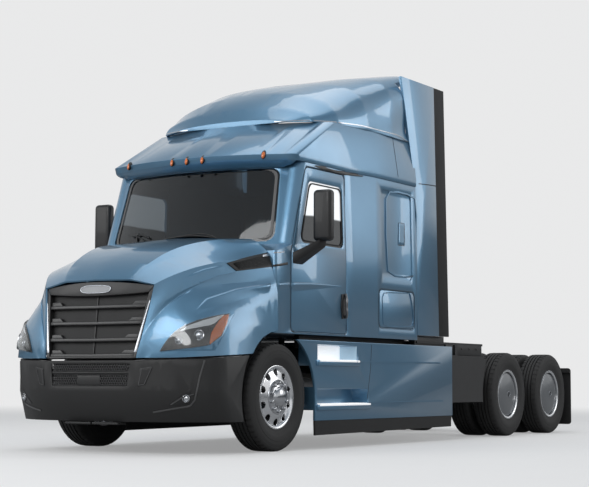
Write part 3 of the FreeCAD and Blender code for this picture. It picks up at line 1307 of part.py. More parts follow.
def dashboard():
    wall = size("wall")
    front = size("cowl_front") + wall + size("seat_clear")
    half = size("cowl_half") - wall - 10
    high = size("dash_height") - 40
    low = size("dash_bottom")
    depth = size("dash_depth")
    outline = [(front, low), (front, high), (front + depth * 0.75, high - 30), (front + depth, high - 150),
               (front + depth * 0.8, low)]
    panel = prism(side_points(outline, -half), Vector(2 * half, 0, 0))
    centre = Vector(size("seat_offset"), front + depth + 130, size("dash_height") - 60)
    axis = Vector(0, 0.55, 1).normalize()
    rim = size("steering_rim")
    reach = size("steering_wheel_radius")
    corners = [math.pi * number / 4 for number in range(8)]
    ring = turned([(rim * math.cos(turn), reach + rim * math.sin(turn)) for turn in corners], 24)
    ring.Placement = Placement(centre, Rotation(Vector(1, 0, 0), axis))
    spoke = Part.makeBox(2 * reach, 50, 16, Vector(-reach, -25, -8))
    spoke.Placement = Placement(centre, Rotation(Vector(0, 0, 1), axis))
    column = Part.makeCylinder(35, 400, centre - axis * 390, axis)
    cowling = Part.makeBox(500, 200, 120, Vector(size("seat_offset") - 250, front + 100, low + 20))
    return panel.fuse([spoke, column, cowling, ring])


keep_shape("dashboard", dashboard())

doc.recompute()
faults = []
for item in doc.Objects:
    if "Invalid" in item.State or "Error" in item.State:
        faults.append("%s is %s" % (item.Name, item.State))
for piece in kept:
    if piece.Shape.isNull() or not piece.Shape.isValid():
        faults.append("%s has no valid shape" % piece.Label)
if faults:
    raise RuntimeError("; ".join(faults))

os.makedirs("parts", exist_ok=True)
for piece in kept:
    piece.Shape.exportStep("parts/%s.step" % piece.Label)
    box_of = piece.Shape.BoundBox
    print("%-22s solids %d volume %9.4f l  x %6.0f..%6.0f  y %6.0f..%6.0f  z %6.0f..%6.0f" % (
        piece.Label, len(piece.Shape.Solids), piece.Shape.Volume / 1e6, box_of.XMin, box_of.XMax,
        box_of.YMin, box_of.YMax, box_of.ZMin, box_of.ZMax))
print("%d sub-parts" % len(kept))
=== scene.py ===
import json
import math

import bpy
from mathutils import Matrix, Vector


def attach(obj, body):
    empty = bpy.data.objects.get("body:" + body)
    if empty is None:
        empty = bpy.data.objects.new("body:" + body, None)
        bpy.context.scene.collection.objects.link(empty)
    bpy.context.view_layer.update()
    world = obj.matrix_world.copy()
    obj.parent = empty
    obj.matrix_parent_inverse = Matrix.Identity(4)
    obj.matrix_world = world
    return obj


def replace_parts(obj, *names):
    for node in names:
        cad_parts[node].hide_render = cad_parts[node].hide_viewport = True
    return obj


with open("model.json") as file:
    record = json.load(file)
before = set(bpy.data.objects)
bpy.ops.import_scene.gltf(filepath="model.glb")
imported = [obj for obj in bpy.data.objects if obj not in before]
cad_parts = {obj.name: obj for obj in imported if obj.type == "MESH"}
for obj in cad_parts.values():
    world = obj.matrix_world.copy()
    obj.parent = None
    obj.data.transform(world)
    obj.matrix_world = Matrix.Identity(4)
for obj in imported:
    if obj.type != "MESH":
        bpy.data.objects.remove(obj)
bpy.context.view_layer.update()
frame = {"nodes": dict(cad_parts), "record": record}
nodes = frame["nodes"]
frontAxle = -2.949  # the front axle's y; the places below are measured from it
print("stage frame:", len(nodes), "nodes")

# The camera, the light and the floor.
studio = {
    "eye": (8.9167, -15.3621, 0.6566), "turn": 31.459, "lift": 5.033, "roll": 0.206, "lens": 95.43,
    "sensor": 36.0, "photoWide": 589, "photoMiddle": (294.5, 243.5),
    "backColour": (0.815, 0.818, 0.822), "floorColour": (0.90, 0.902, 0.905),
    "bounceColour": (0.36, 0.362, 0.365), "frontColour": (0.62, 0.66, 0.70),
    "floorGlow": 0.37, "floorSize": 160.0, "worldLight": 0.50, "glossLight": 0.78, "mirrorShare": 0.10,
    "fadeStart": 9.0, "fadeEnd": 26.0,
    # how bright the sky is from straight below to straight above
    "sky": ((0.0, (0.34, 0.35, 0.36)), (0.47, (0.12, 0.13, 0.14)), (0.535, (0.08, 0.09, 0.10)),
            (0.555, (0.95, 0.98, 1.0)), (0.62, (1.0, 1.0, 1.0)), (0.76, (0.84, 0.88, 0.92)),
            (0.90, (0.36, 0.40, 0.44)), (1.0, (0.30, 0.34, 0.38))),
    "lamps": (
        # name, place, aimed at, size, watts
        ("keyLamp", (3.0, -17.0, 9.0), (0.3, -3.0, 1.6), (9.0, 7.0), 900),
        ("frontLamp", (-9.0, -14.0, 6.0), (0.0, -3.5, 1.2), (8.0, 6.0), 420),
        ("topLamp", (0.0, 0.0, 13.0), (0.0, 0.0, 2.0), (9.0, 14.0), 640),
        ("rearLamp", (13.0, 11.0, 7.0), (0.5, 2.5, 1.6), (7.0, 7.0), 380),
    ),
}


class Shade:
    # A node socket that reads like a number in an expression.

    def __init__(self, tree, socket=None):
        self.tree = tree
        self.socket = socket

    def node(self, kind, settings=None, inputs=None, output=0):
        made = self.tree.nodes.new(kind)
        for name, value in (settings or {}).items():
            if name == "stops":
                ramp = made.color_ramp.elements
                ramp.remove(ramp[1])
                ramp[0].position, ramp[0].color = value[0][0], (*value[0][1], 1.0)
                for stop, tone in value[1:]:
                    ramp.new(stop).color = (*tone, 1.0)
            else:
                setattr(made, name, value)
        for name, value in (inputs or {}).items():
            if isinstance(value, Shade):
                self.tree.links.new(value.socket, made.inputs[name])
            else:
                made.inputs[name].default_value = value
        return Shade(self.tree, made.outputs[output]) if len(made.outputs) else None

    def sum(self, operation, first, second):
        return self.node("ShaderNodeMath", {"operation": operation}, {0: first, 1: second})

    def __add__(self, other):
        return self.sum("ADD", self, other)

    def __sub__(self, other):
        return self.sum("SUBTRACT", self, other)

    def __rsub__(self, other):
        return self.sum("SUBTRACT", other, self)

    def __mul__(self, other):
        return self.sum("MULTIPLY", self, other)

    def place(self, output="Object"):
        return self.node("ShaderNodeTexCoord", output=output)

    def part(self, vector, axis):
        return self.node("ShaderNodeSeparateXYZ", inputs={0: vector}, output=axis)

    def noise(self, place, scale, detail=2.0, roughness=0.5):
        return self.node("ShaderNodeTexNoise", inputs={
            "Vector": place, "Scale": scale, "Detail": detail, "Roughness": roughness})

    def blend(self, share, first, second):
        pair = [tone if isinstance(tone, Shade) else (*tone, 1) for tone in (first, second)]
        return self.node("ShaderNodeMix", {"data_type": "RGBA"}, {0: share, 6: pair[0], 7: pair[1]}, output=2)

    def ease(self, value, start, stop):
        return self.node("ShaderNodeMapRange", {"interpolation_type": "SMOOTHSTEP"}, {
            0: value, 1: start, 2: stop})

    def ray(self, kind):
        return self.node("ShaderNodeLightPath", output=kind)

    def mixed(self, share, first, second):
        return self.node("ShaderNodeMixShader", inputs={0: share, 1: first, 2: second})

    def backdrop(self, colour, strength):
        return self.node("ShaderNodeBackground", inputs={0: colour, 1: strength})

    def surface(self, inputs):
        shader = self.node("ShaderNodeBsdfPrincipled", inputs=inputs)
        self.node("ShaderNodeOutputMaterial", inputs={"Surface": shader})


def newTree(name):
    made = bpy.data.materials.new(name)
    made.use_nodes = True
    made.node_tree.nodes.clear()
    return made, Shade(made.node_tree)


def choose(*pieces):
    # Only these pieces are selected, and the first one is active.
    if bpy.context.object and bpy.context.object.mode != "OBJECT":
        bpy.ops.object.mode_set(mode="OBJECT")
    bpy.ops.object.select_all(action="DESELECT")
    for piece in pieces:
        piece.select_set(True)
    if pieces:
        bpy.context.view_layer.objects.active = pieces[0]


def linked(name, data):
    piece = bpy.data.objects.new(name, data)
    bpy.context.scene.collection.objects.link(piece)
    return piece


def makeLights(scene):
    cameraData = bpy.data.cameras.new("photoCamera")
    cameraData.lens = studio["lens"]
    cameraData.sensor_width = studio["sensor"]
    cameraData.clip_end = 400.0
    camera = linked("photoCamera", cameraData)
    turn = Matrix.Rotation(math.radians(studio["turn"]), 4, "Z")
    lift = Matrix.Rotation(math.radians(90.0 + studio["lift"]), 4, "X")
    roll = Matrix.Rotation(math.radians(studio["roll"]), 4, "Z")
    camera.matrix_world = Matrix.Translation(studio["eye"]) @ turn @ lift @ roll
    scene.camera = camera
    for name, place, target, size, watts in studio["lamps"]:
        lampData = bpy.data.lights.new(name, "AREA")
        lampData.shape = "RECTANGLE"
        lampData.size, lampData.size_y = size
        lampData.energy = watts
        aim = (Vector(target) - Vector(place)).to_track_quat("-Z", "Y")
        linked(name, lampData).matrix_world = Matrix.Translation(place) @ aim.to_matrix().to_4x4()


def makeSky(scene):
    world = bpy.data.worlds.new("studioWorld")
    scene.world = world
    world.use_nodes = True
    world.node_tree.nodes.clear()
    start = Shade(world.node_tree)
    ahead = start.place("Generated")
    height = start.part(ahead, 2)
    sky = start.node("ShaderNodeValToRGB", {"stops": studio["sky"]}, {0: height * 0.5 + 0.5})
    # the horizon is brighter before the truck than behind it
    front = start.ease(start.part(ahead, 1), -0.05, -0.55)
    sky = start.blend(front * start.ease(height, 0.22, -0.08), sky, studio["frontColour"])
    pale = start.backdrop((*studio["backColour"], 1), 1.0)
    mix = start.mixed(start.ray("Is Camera Ray") + start.ray("Is Transmission Ray"),
                      start.backdrop(sky, studio["worldLight"]), pale)
    both = start.mixed(start.ray("Is Glossy Ray"), mix, start.backdrop(sky, studio["glossLight"]))
    start.node("ShaderNodeOutputWorld", inputs={"Surface": both})


def makeFloor():
    choose()
    bpy.ops.mesh.primitive_grid_add(x_subdivisions=24, y_subdivisions=24, size=studio["floorSize"])
    floor = bpy.context.object
    floor.name = "studioFloor"
    made, start = newTree("floorPale")
    place = start.place()
    distance = start.node("ShaderNodeVectorMath", {"operation": "LENGTH"}, {0: place}, output=1)
    fade = start.ease(distance, studio["fadeStart"], studio["fadeEnd"])
    worn = [0.97 * part for part in studio["floorColour"]]
    tone = start.blend(start.noise(place, 1.3), studio["floorColour"], worn)
    matt = start.node("ShaderNodeBsdfPrincipled", inputs={"Base Color": tone, "Roughness": 0.7})
    glow = start.node("ShaderNodeEmission", inputs={0: (*studio["backColour"], 1)})
    mix = start.mixed(fade * (1.0 - studio["floorGlow"]) + studio["floorGlow"], matt, glow)
    bounce = start.node("ShaderNodeBsdfDiffuse", inputs={0: (*studio["bounceColour"], 1)})
    share = start.ray("Is Camera Ray") + start.ray("Is Glossy Ray") * studio["mirrorShare"]
    start.node("ShaderNodeOutputMaterial", inputs={"Surface": start.mixed(share, bounce, mix)})
    floor.data.materials.append(made)


bpy.context.scene.view_settings.view_transform = "Standard"
makeLights(bpy.context.scene)
makeSky(bpy.context.scene)
makeFloor()
print("stage studio")

# Finishes: one procedural material each, and the record's slot that it usually goes with.
finishes = {
    # name: slot, colour, second colour, roughness, metallic, grain, bump, its depth, coat, spread, glow (painted
    # light)
    "bluePaint": ("paint", (0.115, 0.255, 0.395), (0.098, 0.225, 0.355), 0.34, 0.62, 900, 0.02, 0.0004, 0.8, 0.1),
    # A lighter blue that glows: painted light for a lit facet beside the step.
    "facetBlue": ("paint", (0.40, 0.55, 0.66), (0.33, 0.48, 0.60), 0.4, 0.2, 700, 0.02, 0.0004, 0.5, 0.1, 0.25),
    "framePaint": ("frame_paint", (0.022, 0.023, 0.025), (0.035, 0.036, 0.038), 0.45, 0.1, 160, 0.12, 0.001,
                   0.2, 0.2),
    "bumperPlastic": ("dark_plastic", (0.014, 0.014, 0.0145), (0.018, 0.018, 0.0185), 0.52, 0.0, 700, 0.16, 0.0008,
                      0.0, 0.12),
    "blackPlastic": ("black_plastic", (0.008, 0.008, 0.0085), (0.012, 0.012, 0.013), 0.46, 0.0, 600, 0.14, 0.0008,
                     0.1, 0.14),
    "tyreRubber": ("tyre_rubber", (0.020, 0.020, 0.021), (0.034, 0.033, 0.032), 0.72, 0.0, 240, 0.25, 0.0012,
                   0.0, 0.16),
    "trimRubber": ("trim_rubber", (0.013, 0.013, 0.014), (0.019, 0.019, 0.019), 0.74, 0.0, 500, 0.2, 0.0008,
                   0.0, 0.12),
    "polishedAlloy": ("polished_alloy", (0.82, 0.83, 0.85), (0.72, 0.73, 0.75), 0.20, 1.0, 420, 0.05, 0.0004,
                      0.0, 0.14),
    "chromeCover": ("polished_alloy", (0.62, 0.63, 0.65), (0.40, 0.41, 0.43), 0.16, 1.0, 180, 0.1, 0.0006, 0.0, 0.16),
    "coverGrey": ("cover_grey", (0.20, 0.21, 0.225), (0.17, 0.18, 0.19), 0.36, 0.35, 320, 0.05, 0.0004, 0.4, 0.12),
    "forgedSteel": ("forged", (0.055, 0.055, 0.058), (0.10, 0.095, 0.09), 0.55, 0.8, 210, 0.3, 0.0014, 0.0, 0.25),
    "tankAlloy": ("tank_alloy", (0.60, 0.61, 0.63), (0.50, 0.51, 0.53), 0.32, 0.95, 300, 0.08, 0.0005, 0.0, 0.2),
    "deckBlack": ("deck_black", (0.020, 0.020, 0.021), (0.034, 0.034, 0.035), 0.5, 0.2, 260, 0.2, 0.001, 0.1, 0.2),
    "dashPlastic": ("dash_plastic", (0.045, 0.045, 0.048), (0.06, 0.058, 0.056), 0.6, 0.0, 500, 0.3, 0.001,
                    0.0, 0.12),
    "silverTrim": ("polished_alloy", (0.50, 0.52, 0.55), (0.42, 0.44, 0.47), 0.26, 0.9, 300, 0.04, 0.0004, 0.3, 0.1),
    "cabLining": ("dash_plastic", (0.115, 0.112, 0.108), (0.09, 0.088, 0.085), 0.8, 0.0, 420, 0.3, 0.001, 0.0, 0.1),
    "amberLens": ("lamp_glass", (0.80, 0.20, 0.03), (0.66, 0.14, 0.02), 0.16, 0.1, 260, 0.2, 0.001, 1.0, 0.08),
    "lampWhite": ("lamp_glass", (0.86, 0.87, 0.88), (0.76, 0.77, 0.79), 0.2, 0.1, 320, 0.12, 0.0006, 1.0, 0.08),
    "lampBlack": ("black_plastic", (0.028, 0.027, 0.027), (0.05, 0.048, 0.046), 0.28, 0.3, 300, 0.1, 0.0006,
                  0.6, 0.1),
    "lampLensClear": ("lamp_glass", (0.62, 0.64, 0.66), (0.30, 0.31, 0.33), 0.08, 0.7, 60, 0.1, 0.001, 1.0, 0.06),
    "grilleBlack": ("dark_plastic", (0.010, 0.010, 0.0105), (0.014, 0.014, 0.0145), 0.42, 0.0, 700, 0.1, 0.0006,
                    0.1, 0.12),
    # Lighter grey for the bumper's mesh and its rim, and for the lines along the bumper's crease and edges, which are
    # painted highlights.
    "edgeGrey": ("dark_plastic", (0.075, 0.075, 0.077), (0.06, 0.06, 0.062), 0.38, 0.0, 600, 0.1, 0.0006, 0.2, 0.12),
    "bladeGrey": ("dark_plastic", (0.018, 0.018, 0.019), (0.024, 0.024, 0.025), 0.40, 0.0, 700, 0.1, 0.0006,
                  0.2, 0.12),
    "shutterDark": ("black_plastic", (0.009, 0.009, 0.0095), (0.013, 0.013, 0.0135), 0.6, 0.0, 500, 0.16, 0.0008,
                    0.0, 0.12),
    "gasketGrey": ("trim_rubber", (0.085, 0.086, 0.088), (0.11, 0.11, 0.112), 0.5, 0.0, 400, 0.16, 0.0008, 0.1, 0.12),
    # Painted shade: dark lines laid on the panels along their gaps and seams.
    "seamDark": ("trim_rubber", (0.015, 0.022, 0.03), (0.025, 0.034, 0.044), 0.6, 0.0, 300, 0.1, 0.0005, 0.0, 0.1),
    # The step plates' finish glows: painted light, so they look brightly lit.
    "brightPlate": ("polished_alloy", (0.95, 0.955, 0.96), (0.86, 0.865, 0.87), 0.38, 0.15, 220, 0.12, 0.0008,
                    0.0, 0.16, 0.55),
    "handleGrey": ("polished_alloy", (0.30, 0.30, 0.31), (0.14, 0.14, 0.145), 0.3, 0.8, 260, 0.08, 0.0005, 0.3, 0.14),
    "mirrorSilver": ("polished_alloy", (0.86, 0.87, 0.88), (0.80, 0.81, 0.82), 0.03, 1.0, 60, 0.0, 0.0001, 0.0, 0.02),
}


def makeFinish(name, colour, second, roughness, metallic, grain, bump, depth, coat, spread, glow=0.0):
    made, start = newTree(name)
    place = start.place()
    fine = start.noise(place, grain, 3.0, 0.6)
    cloud = start.noise(place, 3.1, 5.0, 0.62)
    tint = start.blend(cloud * 0.7 + fine * 0.3, colour, second)
    start.surface({
        "Base Color": tint, "Roughness": (cloud - 0.5) * spread + (fine - 0.5) * 0.06 + roughness,
        "Metallic": metallic, "Coat Weight": coat, "Coat Roughness": 0.04,
        "Normal": start.node("ShaderNodeBump", inputs={"Strength": bump, "Distance": depth, "Height": fine}),
        "Emission Color": tint, "Emission Strength": glow})
    return made


def makeGlass(name, colour, roughness):
    made, start = newTree(name)
    smear = start.noise(start.place(), 2.2, 5.0, 0.7)
    start.surface({
        "Base Color": start.blend(smear, colour, [0.86 * part for part in colour]),
        "Roughness": (smear - 0.4) * 0.03 + roughness, "IOR": 1.5, "Transmission Weight": 1.0})
    return made


def makeWeave(name, colour, second, scale):
    made, start = newTree(name)
    place = start.place()
    across, along = [start.node("ShaderNodeTexWave", {"bands_direction": axis}, {
        "Vector": place, "Scale": scale, "Distortion": 0.6}) for axis in "XZ"]
    fluff = start.noise(place, 60.0, 4.0)
    bump = start.node("ShaderNodeBump", inputs={
        "Strength": 0.4, "Distance": 0.001, "Height": across * along + fluff * 0.4})
    start.surface({
        "Base Color": start.blend(fluff * 0.6 + across * along * 0.4, colour, second),
        "Roughness": 0.86 - fluff * 0.1, "Sheen Weight": 0.3, "Normal": bump})
    return made


def makeDoorGlass(name, bright, dark, level):
    # Painted reflection: pale sky painted into the upper part of the pane and the dark cabin into the lower part,
    # both made to glow.
    made, start = newTree(name)
    place = start.place()
    ripple = start.noise(place, 1.6, 3.0)
    upper = start.ease(start.part(place, 2) + (ripple - 0.5) * 0.05, level - 0.012, level + 0.012)
    tint = start.blend(upper, dark, bright)
    start.surface({
        "Base Color": tint, "Roughness": (ripple - 0.5) * 0.03 + 0.05, "Metallic": 0.6, "Coat Weight": 0.7,
        "Coat Roughness": 0.03, "Emission Color": tint, "Emission Strength": 0.55})
    return made


made = {name: makeFinish(name, *look[1:]) for name, look in finishes.items()}
usualSlot = {name: look[0] for name, look in finishes.items()}
made["screenGlass"] = makeGlass("screenGlass", (0.20, 0.23, 0.25), 0.02)
made["clearGlass"] = makeGlass("clearGlass", (0.93, 0.95, 0.96), 0.01)
made["doorGlass"] = makeDoorGlass("doorGlass", (0.86, 0.88, 0.90), (0.014, 0.015, 0.016), 2.27)
made["seatCloth"] = makeWeave("seatCloth", (0.055, 0.056, 0.06), (0.09, 0.09, 0.095), 260)
usualSlot.update(clearGlass="lamp_glass", seatCloth="seat_fabric")
print("stage finishes:", len(made))

slotFinish = {
    "paint": "bluePaint", "frame_paint": "framePaint", "dark_plastic": "bumperPlastic",
    "black_plastic": "blackPlastic", "tyre_rubber": "tyreRubber", "trim_rubber": "trimRubber",
    "polished_alloy": "polishedAlloy", "cover_grey": "coverGrey", "forged": "forgedSteel",
    "screen_glass": "screenGlass", "lamp_glass": "clearGlass", "tank_alloy": "tankAlloy",
    "deck_black": "deckBlack", "seat_fabric": "seatCloth", "dash_plastic": "dashPlastic",
}
ownFinish = {"door_glass_left": "doorGlass", "door_glass_right": "doorGlass"}
bodyOf = {member: body for body, members in frame["record"]["behaviour"]["bodies"].items() for member in members}
nodeSlot = {}
for name, node in nodes.items():
    nodeSlot[name] = node.data.materials[0].name.split(".")[0] if node.data.materials else ""
    finish = made[ownFinish.get(name, slotFinish.get(nodeSlot[name], "framePaint"))]
    node.data.materials.clear()
    node.data.materials.append(finish)
print("stage node slots:", sorted(set(nodeSlot.values())))


# Helpers for pieces.

def at(x, y, z):
    return Vector((x, y + frontAxle, z))


def editMesh(select=True):
    bpy.ops.object.mode_set(mode="EDIT")
    bpy.ops.mesh.select_all(action="SELECT" if select else "DESELECT")


def endEdit():
    bpy.ops.object.mode_set(mode="OBJECT")


def begun(name):
    # The form that the last call made, its place, turn and size kept in its mesh.
    bpy.ops.object.transform_apply(location=True, rotation=True, scale=True)
    bpy.context.object.name = name
    return bpy.context.object


def modify(piece, name, kind, **values):
    modifier = piece.modifiers.new(name, kind)
    for key, value in values.items():
        setattr(modifier, key, value)


def applyAll(piece):
    choose(piece)
    for modifier in list(piece.modifiers):
        bpy.ops.object.modifier_apply(modifier=modifier.name)
    bpy.ops.object.transform_apply(location=True, rotation=True, scale=True)
    return piece


def settle(piece, body, finish, angle=40.0, slotName=None):
    applyAll(piece)
    bpy.ops.object.shade_smooth_by_angle(angle=math.radians(angle))
    piece.data.materials.clear()
    piece.data.materials.append(made[finish])
    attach(piece, body)
    slotName or usualSlot[finish]
    choose()
    return piece


def soften(piece, width, segments=2, angle=30.0):
    modify(piece, "softEdge", "BEVEL", width=width, segments=segments, limit_method="ANGLE",
           angle_limit=math.radians(angle), harden_normals=False)


def wall(piece, thickness, offset=1.0):
    modify(piece, "wall", "SOLIDIFY", thickness=thickness, offset=offset, use_even_offset=False)


def repeat(piece, name, count, shift):
    modify(piece, name, "ARRAY", count=count, use_relative_offset=False, use_constant_offset=True,
           constant_offset_displace=shift)


def copied(piece, name):
    copy = piece.copy()
    copy.data = piece.data.copy()
    copy.name = name
    bpy.context.scene.collection.objects.link(copy)
    return copy


def duplicate(piece, name, move=(0, 0, 0), turned=False):
    # A copy with its own mesh, moved, and turned half round to face the other side.
    copy = copied(piece, name)
    copy.data.transform(Matrix.Rotation(math.pi if turned else 0.0, 4, "Z"))
    copy.data.transform(Matrix.Translation(move))
    return copy


def otherSide(piece, name):
    copy = copied(piece, name)
    copy.data.transform(Matrix.Scale(-1, 4, (1, 0, 0)))
    copy.data.flip_normals()
    return copy


def bothSides(piece, body, finish, angle=40.0, rounding=0.0, slotName=None):
    if rounding:
        soften(piece, rounding)
    applyAll(piece)
    mirror = otherSide(piece, piece.name + "Right")
    settle(piece, body, finish, angle, slotName)
    settle(mirror, body.replace("left", "right"), finish, angle, slotName)
    return piece, mirror


def remove(*pieces):
    for piece in pieces:
        bpy.data.objects.remove(piece)


def joined(pieces, name):
    choose(*pieces)
    bpy.ops.object.join()
    pieces[0].name = name
    return pieces[0]


def cutWith(piece, tool):
    modify(piece, "cut", "BOOLEAN", operation="DIFFERENCE", solver="EXACT", object=tool)
    choose(piece)
    bpy.ops.object.modifier_apply(modifier="cut")


def nodeCopy(name, pieceName):
    # A CAD node's mesh as a piece of its own, its triangles merged back into flat faces.
    piece = copied(nodes[name], pieceName)
    for key in list(piece.keys()):
        del piece[key]
    piece.parent = None
    choose(piece)
    bpy.ops.mesh.customdata_custom_splitnormals_clear()
    editMesh()
    bpy.ops.mesh.remove_doubles(threshold=0.0002)
    bpy.ops.mesh.dissolve_limited(angle_limit=math.radians(0.6))
    endEdit()
    return piece


def lathed(name, profile, sides=96, closed=True):
    # Turned about the X axis through the origin, from points of x and radius.
    choose()
    lastX, lastRadius = profile[0]
    bpy.ops.mesh.primitive_circle_add(vertices=sides, radius=lastRadius, location=(lastX, 0, 0),
                                      rotation=(0, math.pi / 2, 0))
    piece = begun(name)
    editMesh()
    for x, radius in list(profile[1:]) + ([profile[0]] if closed else []):
        bpy.ops.mesh.extrude_region_move(TRANSFORM_OT_translate={"value": (x - lastX, 0, 0)})
        ratio = radius / lastRadius
        bpy.ops.transform.resize(value=(1, ratio, ratio), center_override=(x, 0, 0))
        lastX, lastRadius = x, radius
    bpy.ops.mesh.select_all(action="SELECT")
    bpy.ops.mesh.remove_doubles(threshold=0.00005)
    if not closed:
        bpy.ops.mesh.select_all(action="SELECT")
        bpy.ops.mesh.fill_holes(sides=0)
    bpy.ops.mesh.select_all(action="SELECT")
    bpy.ops.mesh.normals_make_consistent(inside=False)
    endEdit()
    return piece


def tube(name, points, radius, closed=False):
    # A round bar along the points, as a curve with a bevel that becomes a mesh.
    line = bpy.data.curves.new(name, "CURVE")
    line.dimensions = "3D"
    line.bevel_depth = radius
    line.bevel_resolution = 3
    line.use_fill_caps = True
    spline = line.splines.new("BEZIER")
    spline.bezier_points.add(len(points) - 1)
    for knot, point in zip(spline.bezier_points, points):
        knot.co = point
        knot.handle_left_type = knot.handle_right_type = "AUTO"
    spline.use_cyclic_u = closed
    line.resolution_u = 6
    choose(linked(name, line))
    bpy.ops.object.convert(target="MESH")
    return bpy.context.object


def block(name, low, high, rounding):
    choose()
    low, high = Vector(low), Vector(high)
    bpy.ops.mesh.primitive_cube_add(size=1.0, location=(low + high) / 2)
    bpy.ops.transform.resize(value=tuple(high - low))
    piece = begun(name)
    soften(piece, rounding, 3)
    return piece


def gridPiece(name, columns, rows, place, facing):
    # A grid whose corners go where place says, for u and v from 0 to 1, its outside turned to facing.
    choose()
    bpy.ops.mesh.primitive_grid_add(x_subdivisions=columns, y_subdivisions=rows, size=1.0, location=(0, 0, 0))
    piece = bpy.context.object
    piece.name = name
    for vertex in piece.data.vertices:
        vertex.co = place(vertex.co.x + 0.5, vertex.co.y + 0.5)
    editMesh()
    bpy.ops.mesh.remove_doubles(threshold=0.0003)
    bpy.ops.mesh.normals_make_consistent(inside=False)
    endEdit()
    tally = sum((face.normal.dot(facing - face.center) > 0) * face.area for face in piece.data.polygons)
    if tally < 0.5 * sum(face.area for face in piece.data.polygons):
        piece.data.flip_normals()
    return piece


def alongLine(points, share):
    points = [Vector(point) for point in points]
    runs = [(b - a).length for a, b in zip(points, points[1:])]
    left = share * sum(runs)
    for start, stop, run in zip(points, points[1:], runs):
        if left <= run or stop is points[-1]:
            return start.lerp(stop, min(left / run, 1.0) if run else 0.0)
        left -= run


def strip(name, low, high, front, back=0.0, thickness=0.03, columns=24, rows=2, rounding=0.004):
    # A strip between two lines of x and z, on a bowed front, thickened backwards.
    def place(u, v):
        spot = alongLine(low, u).lerp(alongLine(high, u), v)
        return at(spot.x, front(spot.x, spot.y) + back, spot.y)

    piece = gridPiece(name, columns, rows, place, Vector((0, -30, 1)))
    wall(piece, thickness, -1.0)
    soften(piece, rounding, 3)
    return applyAll(piece)


# The painted panels: the CAD nodes with rounded edges.
panels = {
    # node: rounding width, smoothing angle
    "cab_shell": (0.006, 32), "door_left": (0.005, 32), "door_right": (0.005, 32),
    "baggage_door_left": (0.005, 32), "baggage_door_right": (0.005, 32),
    "hood": (0.004, 24), "roof_cap": (0.006, 32), "roof_fairing": (0.006, 32),
    "side_extenders": (0.005, 32), "extender_trims": (0.005, 32), "sun_visor": (0.005, 32),
    "skirt_left": (0.006, 32), "skirt_right": (0.006, 32), "bumper": (0.006, 32),
}
skins = {}
for name, (width, angle) in panels.items():
    skins[name] = nodeCopy(name, name + "Panel")
    soften(skins[name], width)
    settle(skins[name], bodyOf[name], slotFinish[nodeSlot[name]], angle, nodeSlot[name])
    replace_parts(skins[name], name)
print("stage panels:", len(panels))


# Wheels and tyres, all as points of x (outwards) and radius.
tyreLook = {
    "sidewall": ((0.1095, 0.2875), (0.1130, 0.3000), (0.1180, 0.3080), (0.1176, 0.3120), (0.1215, 0.3200),
                 (0.1290, 0.3400), (0.1345, 0.3620), (0.1352, 0.3640), (0.1370, 0.3860), (0.1374, 0.4080),
                 (0.1356, 0.4092), (0.1346, 0.4340), (0.1360, 0.4352), (0.1330, 0.4560), (0.1300, 0.4650),
                 (0.1310, 0.4668), (0.1270, 0.4800), (0.1190, 0.4920), (0.1080, 0.5000), (0.1000, 0.5028)),
    "grooves": (0.062, 0.021), "grooveWidth": 0.012, "grooveDepth": 0.016, "crown": 0.5048, "sides": 144,
    "notchFrom": 0.068, "notchTo": 0.118, "notchRadius": 0.49, "notchEvery": 3, "notchDepth": 0.006,
}
wheelLook = {
    "rim": ((-0.1185, 0.272), (-0.1185, 0.2985), (-0.1110, 0.2985), (-0.1095, 0.2868), (0.1090, 0.2868),
            (0.1110, 0.2970), (0.1135, 0.2990), (0.1165, 0.2975), (0.1172, 0.2930), (0.1165, 0.2830),
            (0.1110, 0.2720)),
    "steerDisc": ((0.1000, 0.2640), (0.0960, 0.2600), (0.0950, 0.2500), (0.1000, 0.2350), (0.1080, 0.2100),
                  (0.1180, 0.1850), (0.1230, 0.1720), (0.1240, 0.1660), (0.1240, 0.0700), (0.1000, 0.0700),
                  (0.1000, 0.1640), (0.0980, 0.1800), (0.0880, 0.2080), (0.0800, 0.2350), (0.0760, 0.2500),
                  (0.0700, 0.2720)),
    "plainBarrel": ((0.0700, 0.2640), (-0.0700, 0.2640), (-0.0900, 0.2720)),
    "innerDisc": ((0.0200, 0.2640), (-0.0900, 0.2100), (-0.0980, 0.1600), (-0.1080, 0.1600),
                  (-0.1000, 0.2100), (-0.0200, 0.2720)),
    "steerCover": ((0.1220, 0.1600), (0.1290, 0.1620), (0.1335, 0.1580), (0.1350, 0.1120), (0.1390, 0.0980),
                   (0.1540, 0.0900), (0.1670, 0.0820), (0.1760, 0.0650), (0.1810, 0.0400), (0.1840, 0.0200),
                   (0.1845, 0.0030)),
    "driveCover": ((0.0780, 0.2600), (0.0900, 0.2610), (0.0950, 0.2560), (0.1020, 0.2300), (0.1120, 0.1800),
                   (0.1200, 0.1200), (0.1240, 0.0700), (0.1250, 0.0360), (0.1240, 0.0300), (0.1060, 0.0270),
                   (0.1040, 0.0040)),
    "coverRing": ((0.1236, 0.0300), (0.1262, 0.0310), (0.1266, 0.0350), (0.1244, 0.0370)),
    "hubSocket": ((0.1040, 0.0265), (0.1100, 0.0265), (0.1100, 0.0170), (0.1170, 0.0150), (0.1180, 0.0030)),
    # circle, radius, from, to, sides
    "handHoles": (0.2330, 0.0335, 0.03, 0.16, 24), "nuts": (0.1320, 0.0165, 0.130, 0.158, 6), "holeCount": 10,
    "axleHeight": 0.505,
    "centres": {"front": ((1.020, 0.0),), "middle": ((1.0455, 5.268), (0.7145, 5.268)),
                "rear": ((1.0455, 6.588), (0.7145, 6.588))},
}


